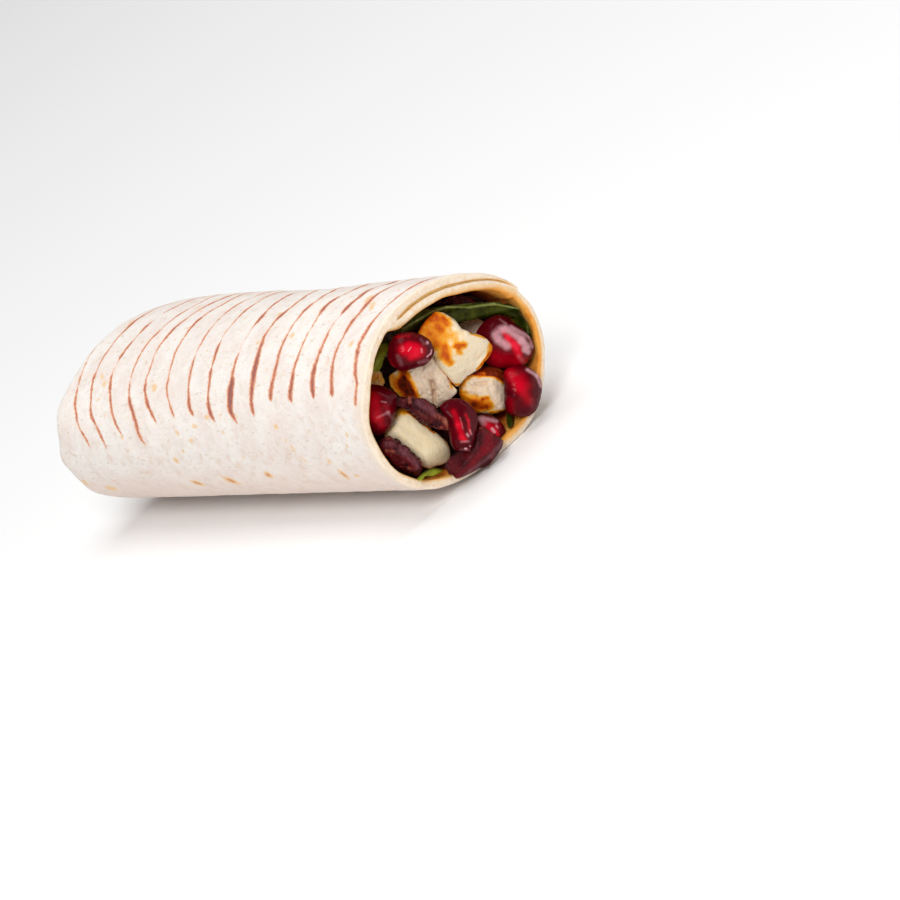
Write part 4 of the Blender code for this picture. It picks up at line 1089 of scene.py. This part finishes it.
# Where light gathers in a seed, painted as a glow, and where painted highlights and reflections of the lights
# lie on its wet skin.
SEED_GLOW = (
    (((-9.1, 5.2), (-6.6, 5.0), 1.0, 1.9), ((-8.4, 6.2), (-7.0, 5.9), 0.6, 1.2),
     ((-8.0, 3.8), (-7.2, 4.2), 0.6, 1.2), ((-10.4, 7.6), (-8.4, 7.8), 0.35, 0.5),
     ((-12.2, 3.4), (-11.2, 2.2), 0.3, 0.4)),
    (((-15.0, -3.4), (-14.6, -7.0), 1.2, 1.0), ((-14.0, -7.6), (-13.4, -8.6), 0.8, 0.6),
     ((-12.6, -5.0), (-12.2, -5.8), 0.6, 0.4)),
    (((9.1, 8.8), (10.0, 7.8), 0.4, 1.4), ((10.0, 7.8), (11.6, 6.2), 0.65, 2.2),
     ((11.4, 6.4), (12.0, 4.9), 0.65, 2.0), ((7.6, 4.4), (11.4, 3.2), 1.4, 0.75),
     ((12.4, 3.6), (13.4, 3.4), 0.9, 0.6)),
    (((10.4, 1.2), (12.2, -1.4), 1.1, 1.1), ((12.2, -1.4), (13.8, -3.8), 0.9, 0.8),
     ((12.6, 0.6), (13.6, -1.0), 0.9, 0.5), ((10.4, -4.0), (10.6, -5.6), 0.7, 0.35)),
    (((-0.2, -6.1), (0.8, -8.4), 0.55, 0.9), ((0.6, -8.4), (1.5, -10.7), 0.55, 1.3),
     ((1.2, -10.8), (1.9, -11.2), 0.45, 1.3), ((2.0, -6.6), (2.5, -7.6), 0.25, 1.0),
     ((2.5, -7.6), (2.8, -10.0), 0.28, 1.1)),
    (((6.2, -8.6), (7.0, -9.6), 0.5, 2.2), ((7.7, -9.6), (8.0, -10.3), 0.35, 2.2),
     ((5.6, -8.4), (7.6, -8.8), 0.8, 0.9)),
)
SEED_PAINTED_HIGHLIGHTS = (
    (((-10.4, 4.0), (-9.8, 2.6), 0.7, 0.35), ((-6.2, 7.2), (-5.6, 6.4), 0.5, 0.35),
     ((-5.0, 6.7), (-5.0, 6.5), 0.22, 1.6), ((-4.25, 5.3), (-4.4, 4.6), 0.13, 1.5),
     ((-4.4, 4.6), (-5.1, 4.0), 0.13, 1.5), ((-8.0, 5.7), (-8.5, 5.0), 0.14, 0.9),
     ((-6.1, 5.4), (-6.0, 4.8), 0.2, 0.9), ((-6.6, 2.9), (-5.0, 3.3), 0.5, 0.4)),
    (((-14.2, -7.2), (-12.2, -6.2), 0.35, 0.5), ((-12.2, -6.2), (-11.5, -7.4), 0.4, 0.4),
     ((-13.4, -4.2), (-12.6, -4.4), 0.2, 0.6), ((-10.8, -3.2), (-10.6, -4.6), 0.3, 0.25),
     ((-14.0, -2.6), (-12.2, -3.4), 0.3, 0.3)),
    (((7.6, 8.4), (8.6, 9.4), 0.9, 0.9), ((8.2, 7.4), (9.8, 6.3), 0.8, 1.3),
     ((9.6, 9.6), (12.4, 7.7), 0.7, 1.4), ((12.6, 7.2), (13.6, 6.2), 0.7, 1.4),
     ((13.0, 5.6), (13.8, 5.2), 0.5, 1.2), ((10.6, 10.0), (14.0, 8.2), 0.38, 0.95),
     ((14.0, 8.2), (14.7, 6.2), 0.3, 0.6), ((12.0, 4.4), (12.8, 3.4), 0.6, 0.4),
     ((8.4, 11.4), (9.6, 10.6), 0.25, 0.5)),
    (((13.6, 1.9), (15.4, 0.8), 0.4, 1.0), ((15.4, 0.8), (16.2, -1.2), 0.35, 1.0),
     ((14.4, -3.8), (14.6, -5.4), 0.9, 0.25), ((10.4, 0.8), (10.9, -0.4), 0.4, 0.2),
     ((12.0, -6.5), (14.4, -6.4), 0.25, 0.2)),
    (((2.3, -10.2), (2.5, -10.5), 0.25, 1.4), ((1.2, -11.6), (2.6, -11.5), 0.3, 0.6),
     ((1.9, -12.85), (2.2, -12.85), 0.14, 2.0), ((2.8, -12.4), (2.9, -12.4), 0.12, 1.5),
     ((1.0, -7.2), (1.5, -9.2), 0.2, 0.45), ((2.8, -9.4), (3.1, -10.2), 0.2, 0.8),
     ((1.0, -13.0), (2.8, -13.2), 0.3, 0.4), ((1.0, -4.2), (2.2, -5.0), 0.3, 0.25)),
    (((4.6, -7.2), (5.4, -8.2), 0.6, 0.9), ((5.4, -7.2), (7.8, -7.7), 0.5, 0.9),
     ((7.0, -9.2), (7.4, -9.7), 0.3, 1.8), ((7.8, -8.6), (8.0, -8.9), 0.2, 1.2)),
)
# How square each piece of beetroot is across, and how deep its wrinkles are, in mm.
BEETROOT_SQUARENESS = (4.5, 4.5, 7.0, 4.0, 4.0)
BEETROOT_WRINKLES = (0.42, 0.46, 0.1, 0.25, 0.2)
# Where beetroot is worn to a lighter brownish pink, and where a painted greyish purple sheen, with fine
# painted highlight streaks, shows on its surface.
BEETROOT_WORN = (
    (((-8.4, -3.4), (-8.3, -4.4), 0.4, 1.1), ((-3.2, -6.8), (-1.8, -7.6), 0.6, 1.0),
     ((-1.6, -8.0), (-1.1, -9.3), 0.45, 1.6), ((-6.8, -6.0), (-4.0, -8.0), 0.5, 0.45),
     ((-2.6, -9.0), (-2.4, -9.1), 0.3, 0.8)),
    (((-12.6, -13.2), (-11.2, -13.4), 0.35, 1.1), ((-8.6, -16.4), (-7.4, -16.6), 0.5, 0.6),
     ((-6.2, -15.0), (-5.9, -16.0), 0.25, 1.0), ((-12.4, -11.0), (-11.6, -10.8), 0.4, 0.5)),
    (((1.4, -18.2), (0.2, -18.8), 0.4, 0.8), ((4.4, -9.1), (5.0, -9.0), 0.3, 0.8),
     ((-0.6, -17.6), (0.2, -18.4), 0.3, 0.5), ((8.7, -11.2), (8.9, -11.9), 0.25, 0.5)),
    (),
    (),
)
BEETROOT_PAINTED_SHEEN = (
    (((-6.6, -4.4), (-3.4, -6.4), 0.9, 1.0), ((-2.0, -7.2), (-0.8, -8.0), 0.5, 0.8),
     ((-9.6, -3.8), (-9.2, -4.6), 0.5, 0.3)),
    (((-12.4, -12.0), (-11.4, -12.2), 0.7, 0.8), ((-9.8, -13.0), (-7.6, -15.0), 0.8, 1.0),
     ((-7.0, -15.4), (-6.6, -16.6), 0.5, 1.0)),
    (((8.7, -11.6), (6.9, -14.1), 0.45, 1.0), ((6.9, -14.1), (2.9, -17.0), 0.42, 1.0),
     ((2.9, -17.0), (0.8, -18.5), 0.35, 0.8), ((4.5, -9.6), (4.2, -12.6), 0.16, 0.5),
     ((4.2, -12.6), (1.8, -15.7), 0.16, 0.5), ((1.8, -15.7), (-0.4, -17.9), 0.16, 0.4)),
    (((-0.4, 15.2), (2.8, 14.6), 0.6, 0.3),),
    (),
)
# Where beetroot shows fresh red flesh.
BEETROOT_FRESH = (
    (((-2.4, -8.6), (-1.2, -9.4), 0.4, 0.5), ((-8.4, -5.0), (-6.4, -6.6), 0.5, 0.3)),
    (((-12.6, -14.2), (-9.6, -16.2), 0.6, 0.5), ((-9.0, -14.6), (-7.4, -16.4), 0.5, 0.4)),
    (((6.4, -10.6), (5.6, -13.0), 0.9, 1.1), ((5.4, -13.4), (2.8, -16.2), 0.75, 0.9),
     ((1.8, -16.9), (0.4, -18.0), 0.5, 0.6), ((7.8, -11.4), (6.6, -13.2), 0.5, 0.6)),
    (),
    (),
)


def add_halloumi():
    """Diced cheese, milky or straw, browned where it fried, with painted shade on faces that lie in shadow.
    Its
    carved surface is torn: coarse and fine noise stand it out, and ridges where a third noise crosses 0."""
    material = halloumi_finish()
    rows = zip(HALLOUMI, HALLOUMI_DENTS, HALLOUMI_BROWNING_AND_SHADE, HALLOUMI_MOST, HALLOUMI_TORN, HALLOUMI_STRAW)
    for number, (piece, dents, browning_and_shade, most, torn, straw) in enumerate(rows, start=1):
        points, out = carved(piece, HALLOUMI_SQUARENESS, HALLOUMI_SOFTNESS, dents)
        crumble = rough(points, 2.4 * MM, 50 + number) - 0.8 * np.abs(cloud(points, 1.3 * MM, 55 + number))
        crumble += 0.4 * rough(points, 0.7 * MM, 60 + number)
        points = hold_inside(points + out * crumble[..., None] * torn * MM)
        plain = np.ones(points.shape[:-1])
        marks = {"browned": scorch(points, browning_and_shade, most), "straw": plain * straw, "torn": plain * torn}
        thing = closed_skin(f"halloumi_dice_{number}", points, ring_ends(points), marks)
        finish_piece(thing, f"halloumi_{number}", material)


def add_seeds():
    """Pomegranate seeds: glassy dark red with a painted bright heart and painted highlights. Their faces are
    what their neighbours pressed, and noise dimples them."""
    material = seed_finish()
    for number, (piece, glow, frost) in enumerate(zip(SEEDS, SEED_GLOW, SEED_PAINTED_HIGHLIGHTS), start=1):
        points, out = carved(piece, SEED_SQUARENESS, SEED_SOFTNESS)
        dimples = 0.05 * MM * rough(points, 2.2 * MM, 40 + number)
        points = hold_inside(points + out * dimples[..., None])
        # Both marks are painted light: the glow where light gathers, and the highlights on the wet skin.
        marks = {"glow": strokes(points, glow), "frost": strokes(points, frost)}
        thing = closed_skin(f"pomegranate_aril_{number}", points, ring_ends(points), marks)
        finish_piece(thing, f"pomegranate_seed_{number}", material)


def add_beetroot():
    """Strips and a slab of beetroot. Noise wrinkles the carved surface, with ridges where another noise
    crosses 0."""
    material = beetroot_finish()
    shows = zip(BEETROOT_WORN, BEETROOT_PAINTED_SHEEN, BEETROOT_FRESH)
    rows = zip(BEETROOT, BEETROOT_SQUARENESS, BEETROOT_WRINKLES, shows)
    for number, (piece, squareness, depth, rows_shown) in enumerate(rows, start=1):
        points, out = carved(piece, squareness, BEETROOT_SOFTNESS)
        wrinkles = rough(points, 1.5 * MM, 70 + number) - 1.2 * np.abs(cloud(points, 0.9 * MM, 75 + number))
        points = hold_inside(points + out * (depth * MM * wrinkles)[..., None])
        # The sheen mark is painted sheen and highlight streaks; the worn and fresh marks are the beetroot's
        # own colour.
        marks = {name: strokes(points, shown) for name, shown in zip(("worn", "bloom", "fresh"), rows_shown)}
        thing = closed_skin(f"beetroot_slice_{number}", points, ring_ends(points), marks)
        finish_piece(thing, f"beetroot_{number}", material)


def curve_through(knots, shares):
    """Points of the smooth curve through the knots: a polynomial in the share of the way along."""
    knots = np.array(knots)
    at = np.linspace(0.0, 1.0, len(knots))
    weights = np.polyfit(at, knots, len(knots) - 1)
    return np.stack([np.polyval(weights[:, axis], shares) for axis in range(3)], axis=1)


LEAF_STEPS = 60
LEAF_AROUND = 64


def leaf_rings(knots, across, width):
    """A thin wavy leaf: a flat loop across it, swept along its middle line. Round the loop, one face runs
    out and the other comes back, with the leaf's thickness between them."""
    along = np.linspace(0.0, 1.0, LEAF_STEPS)
    middle = curve_through([seen(knot) for knot in knots], along)
    forward = np.gradient(middle, axis=0)
    forward /= np.linalg.norm(forward, axis=1)[:, None]
    side = EYE @ np.array([across[0], across[1], -across[2]])
    side = side - (forward @ side)[:, None] * forward
    side /= np.linalg.norm(side, axis=1)[:, None]
    normal = np.cross(forward, side)
    outline = 0.22 + 0.78 * np.sin(math.pi * (0.06 + 0.88 * along)) ** 0.7
    turn = 2.0 * math.pi * np.arange(LEAF_AROUND) / LEAF_AROUND
    out = np.cos(turn)
    reach = 0.5 * width * MM * outline[:, None] * out
    wave = LEAF_WAVE * width * MM * np.sin(9.0 * along[:, None] + 6.8 * (0.5 * out + 0.5))
    sheet = middle[:, None] + side[:, None] * reach[..., None] + normal[:, None] * wave[..., None]
    sheet = hold_inside(sheet, LEAF_THICKNESS)
    edge = 1.0 - np.abs(out) ** 6
    thick = 0.5 * LEAF_THICKNESS * np.sign(np.sin(turn)) * edge
    return sheet + normal[:, None] * thick[None, :, None]


# The ribs, and the edges painted paler where they catch the light as a painted highlight, and the younger,
# brighter parts of the leaves.
SPINACH_RIBS_AND_LIT_EDGES = (
    ((-9.8, 9.2), (-7.0, 10.9), 0.2, 1.0), ((-7.0, 10.9), (-4.2, 12.6), 0.2, 1.2),
    ((-4.2, 12.6), (-1.6, 13.5), 0.2, 1.2), ((-1.6, 13.5), (3.0, 13.6), 0.22, 1.6),
    ((3.0, 13.7), (7.4, 14.3), 0.25, 1.7), ((7.4, 14.3), (12.2, 13.4), 0.22, 1.4),
    ((-14.7, 2.0), (-13.8, 4.0), 0.18, 1.2), ((9.5, 12.2), (10.3, 11.2), 0.15, 0.9),
    ((13.6, 10.2), (13.8, 8.8), 0.2, 0.9), ((10.7, -8.8), (11.4, -8.0), 0.2, 0.8),
    ((1.0, 12.4), (6.0, 13.0), 0.14, 0.35),
)
SPINACH_YOUNG = (
    ((-14.6, 1.2), (-13.0, 5.6), 0.9, 1.25), ((-6.6, -19.0), (-4.0, -17.6), 0.8, 1.8),
    ((-4.0, -17.4), (-2.2, -17.2), 0.5, 1.2), ((13.6, 3.6), (14.4, 2.4), 0.6, 1.0),
    ((0.6, 10.6), (6.0, 11.4), 0.6, 0.35),
)


def add_spinach():
    """Thin wavy leaves, with paler ribs, painted highlights on their edges and young parts by place."""
    material = spinach_finish()
    for number, (knots, across, width) in enumerate(SPINACH, start=1):
        rings = leaf_rings(knots, across, width)
        marks = {"rib": strokes(rings, SPINACH_RIBS_AND_LIT_EDGES), "young": strokes(rings, SPINACH_YOUNG)}
        thing = closed_skin(f"spinach_leaf_{number}", rings, ring_ends(rings), marks)
        finish_piece(thing, f"spinach_{number}", material)


SPOTS_AT_ONCE = 500


def front_back(spot, pieces):
    """How far behind the cut the core's front stands: CORE_BACK, or behind the pieces over that spot."""
    shape = spot.shape[:-1]
    spot = spot.reshape(-1, 2)
    backs = np.full(len(spot), CORE_BACK)
    for first in range(0, len(spot), SPOTS_AT_ONCE):
        part = spot[first:first + SPOTS_AT_ONCE]
        away = np.hypot(pieces[:, 1] - AXIS[1] - part[:, :1], pieces[:, 2] - AXIS[2] - part[:, 1:])
        behind = np.where(away < PIECE_REACH, AXIS[0] - pieces[:, 0], 0.0).max(axis=1) + 2.0 * CLEARANCE
        backs[first:first + SPOTS_AT_ONCE] = np.maximum(CORE_BACK, behind)
    return backs.reshape(shape)


CORE_ANGLE_STEP = 2.5
CORE_SIDE_RINGS = 30
CORE_FRONT_RINGS = 40


def add_core(pieces):
    """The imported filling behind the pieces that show: a plug that follows the wall, and whose front takes
    the pieces' backs and is lumpy with shreds."""
    angles = np.arange(0.0, 360.0, CORE_ANGLE_STEP)
    cap_backs, scales = dome_profile(CORE_TUBE, CORE_DOME, CAP_RINGS)
    angle, back = np.meshgrid(angles, cap_backs)
    depth = core_depth(angle)
    cap = stand(section(angle, np.full_like(angle, TUBE), depth) * scales[:, None, None], back)
    angle, back = np.meshgrid(angles, np.linspace(CORE_TUBE, CORE_BACK + 2.0 * MM, CORE_SIDE_RINGS))
    side = stand(section(angle, back, core_depth(angle)), back)
    angle, scale = np.meshgrid(angles, np.linspace(1.0, 0.03, CORE_FRONT_RINGS))
    spot = section(angle, np.full_like(angle, CORE_BACK), core_depth(angle)) * scale[..., None]
    flat = stand(spot, CORE_BACK)
    lump = CORE_RELIEF * (1.0 + np.sin(np.radians(4.0 * angle) + 9.0 * scale)) * (1.0 - scale)
    shred = 0.5 * MM * (1.0 + rough(flat, 2.2 * MM, 81)) * smooth_step((1.0 - scale) / 0.1)
    front = stand(spot, front_back(spot, pieces) + lump + shred)
    rings = np.concatenate([cap, side, front])
    poles = np.stack([stand(np.zeros(2), np.array(CORE_POLE)), front[-1].mean(axis=0)])
    thing = closed_skin("filling_packed", rings, poles)
    finish_piece(thing, "filling_core", core_finish())


def halloumi_finish():
    """Milky to straw cheese with fine pores, golden where it fried and dark brown where it charred, and tan
    where painted shade lies on it.
    """
    finish = Finish("halloumi_grilled")
    spot = finish.place()
    veil = finish.noise(spot, 3.4, 4.0, 0.6)
    straw = finish.mark("straw") + (veil - 0.5) * 0.5
    stops = ((0.0, colour(240, 213, 188)), (0.35, colour(248, 230, 200)), (0.7, colour(238, 219, 180)),
             (1.0, colour(236, 208, 146)))
    base = finish.ramp(straw, stops)
    pore = finish.noise(spot, 0.5, 3.0, 0.7)
    base = finish.mix(pore.step(0.56, 0.8) * 0.25, base, colour(226, 188, 140))
    milk = finish.noise(spot, 1.4, 3.0, 0.6)
    base = finish.mix(milk.step(0.5, 0.7) * 0.4, base, colour(250, 234, 212))
    crust = finish.noise(spot, 1.0, 4.0, 0.7)
    # This mark is fried browning, and on two pieces painted shade.
    browned = finish.mark("browned") * 1.1 + (crust - 0.5) * 0.5
    stops = ((0.06, colour(250, 217, 160)), (0.24, colour(244, 173, 52)), (0.44, colour(234, 134, 0)),
             (0.62, colour(206, 88, 0)), (0.82, colour(136, 40, 4)), (1.0, colour(64, 18, 8)))
    base = finish.mix(browned.step(0.0, 0.18), base, finish.ramp(browned, stops))
    finish.set(Base_Color=base, Roughness=browned.step(0.0, 0.6) * 0.25 + 0.25, Specular_IOR_Level=0.16)
    finish.set(Subsurface_Weight=0.2, Subsurface_Radius=(1.0, 0.75, 0.45), Subsurface_Scale=0.5 * MM)
    finish.relief((pore * 0.2 + crust * 0.6 + milk * 1.2) * (finish.mark("torn") * 2.4 + 0.2), 0.5)
    return finish.material


def seed_finish():
    """Juice-filled dark red flesh, with a painted glow where light gathers in it and painted highlights and
    reflections of the lights on its wet skin.
    """
    finish = Finish("pomegranate_wet")
    spot = finish.place()
    veil = finish.noise(spot, 2.0, 3.0, 0.6)
    # Painted light: the glow brightens the seed where light gathers in it.
    glow = finish.mark("glow") + (veil - 0.5) * 0.35
    stops = ((0.0, colour(79, 0, 12)), (0.25, colour(118, 0, 15)), (0.55, colour(164, 0, 22)),
             (0.85, colour(206, 2, 34)), (1.0, colour(230, 28, 56)))
    base = finish.ramp(glow, stops)
    # Painted highlights and reflections of the lights on the wet skin, in pale pink.
    bead = finish.noise(spot, 0.5, 3.0, 0.6)
    frost = finish.mark("frost") * (bead.step(0.3, 0.6) * 0.16 + 0.86)
    base = finish.mix(frost.step(0.1, 1.0) * 0.82, base, colour(240, 178, 186))
    finish.set(Base_Color=base, Roughness=0.3, Specular_IOR_Level=0.04)
    finish.set(Coat_Weight=0.1, Coat_Roughness=0.05)
    finish.set(Subsurface_Weight=0.15, Subsurface_Radius=(1.0, 0.1, 0.1), Subsurface_Scale=1.2 * MM)
    finish.relief(finish.noise(spot, 1.8, 2.0) + finish.noise(spot, 0.6, 2.0) * 0.35, 0.16)
    return finish.material


def beetroot_finish():
    """Dark burgundy flesh with a painted greyish purple sheen and highlight streaks, lighter and brownish on
    worn edges.
    """
    finish = Finish("beetroot_cooked")
    spot = finish.place()
    veil = finish.noise(spot, 2.2, 4.0, 0.6)
    base = finish.mix(veil.step(0.35, 0.65), colour(50, 3, 9), colour(94, 14, 20))
    scuff = finish.noise(spot, 0.7, 4.0, 0.7)
    fresh = finish.mark("fresh") + (scuff - 0.5) * 0.4
    base = finish.mix(fresh.step(0.1, 0.9), base, colour(126, 3, 24))
    fibre = (finish.noise(spot, 1.7, 2.0, 0.6) - 0.5).size()
    base = finish.mix(fibre.step(0.016, 0.0) * scuff.step(0.45, 0.6) * 0.6, base, colour(138, 76, 80))
    # Painted sheen: greyish purple where the surface catches the light, with fine bright streaks.
    bloom = finish.mark("bloom") + (scuff - 0.5) * 0.7
    base = finish.mix(bloom.step(0.15, 0.85) * 0.8, base, colour(130, 72, 80))
    worn = finish.mark("worn") + (scuff - 0.5) * 0.8
    base = finish.mix(worn.step(0.2, 0.8), base, colour(156, 78, 62))
    base = finish.mix(worn.step(0.75, 1.1), base, colour(216, 140, 116))
    finish.set(Base_Color=base, Roughness=0.3, Specular_IOR_Level=0.16)
    finish.relief(scuff * 1.1 + veil * 0.6, 0.4)
    return finish.material


def spinach_finish():
    """Dark green leaf with paler ribs and painted highlights along its edges."""
    finish = Finish("spinach_leaf_green")
    spot = finish.place()
    veil = finish.noise(spot, 2.0, 4.0, 0.6)
    base = finish.mix(veil.step(0.35, 0.7), colour(32, 36, 4), colour(66, 72, 10))
    young = finish.mark("young") + (veil - 0.5) * 0.3
    base = finish.mix(young.step(0.1, 0.9), base, colour(150, 156, 42))
    # Paler ribs, and painted highlights where the edges catch the light.
    rib = finish.mark("rib") + (finish.noise(spot, 0.9, 3.0, 0.6) - 0.5) * 0.5
    base = finish.mix(rib.step(0.25, 0.9) * 0.8, base, colour(142, 150, 78))
    finish.set(Base_Color=base, Roughness=0.4, Specular_IOR_Level=0.12)
    finish.relief(veil + finish.noise(spot, 0.9, 3.0, 0.6) * 0.4, 0.25)
    return finish.material


def core_finish():
    """The filling deeper in: dark beetroot and leaves with bits of cheese, kept dark as painted shade in the
    gaps between the pieces.
    """
    finish = Finish("filling_dark")
    spot = finish.place()
    chunk = finish.noise(spot, 3.2, 3.0, 0.6)
    # Dark filling colours, also painted shade for the gaps between the pieces.
    base = finish.mix(chunk.step(0.4, 0.6), colour(56, 15, 15), colour(70, 42, 16))
    leaf = finish.noise(spot, 2.6, 2.0, 0.6)
    base = finish.mix(leaf.step(0.58, 0.64) * 0.8, base, colour(44, 56, 14))
    scuff = finish.noise(spot, 0.8, 3.0, 0.7)
    base = finish.mix(scuff.step(0.6, 0.75) * 0.5, base, colour(112, 50, 34))
    crumb = finish.noise(spot, 1.8, 3.0, 0.65)
    base = finish.mix(crumb.step(0.66, 0.72) * 0.8, base, colour(196, 158, 112))
    finish.set(Base_Color=base, Roughness=0.5)
    finish.relief(scuff + chunk, 0.4)
    return finish.material


# ---------------------------------------------------------------------------------------------------------
# The studio


def add_camera():
    """The camera at the photograph's angle: the middle of the cut shows at its pixel, at its distance."""
    lens = bpy.data.cameras.new("camera")
    lens.sensor_width = SENSOR
    lens.lens = LENS
    lens.clip_start = 0.05
    aside = (CUT_PIXEL[0] - PHOTO_WIDTH / 2) / PIXELS_PER_MM
    above = (PHOTO_WIDTH / 2 - CUT_PIXEL[1]) / PIXELS_PER_MM
    axes = sight_axes()
    place = Vector(AXIS) - axes @ Vector((aside, above, -EYE_DISTANCE)) * MM
    camera = bpy.data.objects.new("camera", lens)
    camera.matrix_world = Matrix.Translation(place) @ axes.to_4x4()
    bpy.context.collection.objects.link(camera)
    bpy.context.scene.camera = camera


# Each light: its name, its direction from the wrap, its distance and width in metres, its power in watts.
LIGHTS = (
    ("overhead", (0.0, 0.1, 1.0), 1.6, 1.25, 14.4),
    ("front", (0.8, -0.6, 0.8), 0.9, 0.35, 3.8),
)
ROOM_LIGHT = 0.32
FLOOR_HALF = 3.0


def add_light(name, toward, distance, width, power):
    """A square soft light that stands off the wrap in a direction and faces it."""
    lamp = bpy.data.lights.new(name, "AREA")
    lamp.size = width
    lamp.energy = power
    light = bpy.data.objects.new(name, lamp)
    away = Vector(toward).normalized()
    facing = away.to_track_quat("Z", "Y").to_matrix().to_4x4()
    light.matrix_world = Matrix.Translation(away * distance) @ facing
    bpy.context.collection.objects.link(light)


def add_floor():
    """A wide plain pale floor under the wrap."""
    mesh = bpy.data.meshes.new("floor")
    corners = [(x * FLOOR_HALF, y * FLOOR_HALF, 0.0) for x, y in ((-1, -1), (1, -1), (1, 1), (-1, 1))]
    mesh.from_pydata(corners, [], [(0, 1, 2, 3)])
    floor = bpy.data.objects.new("floor", mesh)
    bpy.context.collection.objects.link(floor)
    finish = Finish("floor_paint")
    finish.set(Base_Color=colour(252, 252, 252), Roughness=0.9)
    mesh.materials.append(finish.material)


def add_studio():
    """Soft light from all round, a broad soft light over the wrap and a smaller one before it."""
    scene = bpy.context.scene
    scene.view_settings.view_transform = "Standard"
    world = bpy.data.worlds.new("studio")
    world.use_nodes = True
    background = world.node_tree.nodes["Background"]
    background.inputs["Color"].default_value = (1.0, 1.0, 1.0, 1.0)
    background.inputs["Strength"].default_value = ROOM_LIGHT
    scene.world = world
    for light in LIGHTS:
        add_light(*light)
    add_floor()
    add_camera()


PIECE_NAMES = ("halloumi_dice", "pomegranate_aril", "beetroot_slice", "spinach_leaf")


def points_of_pieces():
    """Every ninth point of the pieces that show, for the core to stand behind."""
    pieces = []
    for thing in bpy.data.objects:
        if thing.name.startswith(PIECE_NAMES):
            places = np.empty(len(thing.data.vertices) * 3, np.float32)
            thing.data.vertices.foreach_get("co", places)
            pieces.append(places.reshape(-1, 3)[::9])
    return np.concatenate(pieces)


def main():
    """Dress every node, then set up the studio."""
    finish_piece(make_tortilla(), "tortilla", tortilla_finish())
    add_halloumi()
    add_seeds()
    add_beetroot()
    add_spinach()
    add_core(points_of_pieces())
    add_studio()


main()
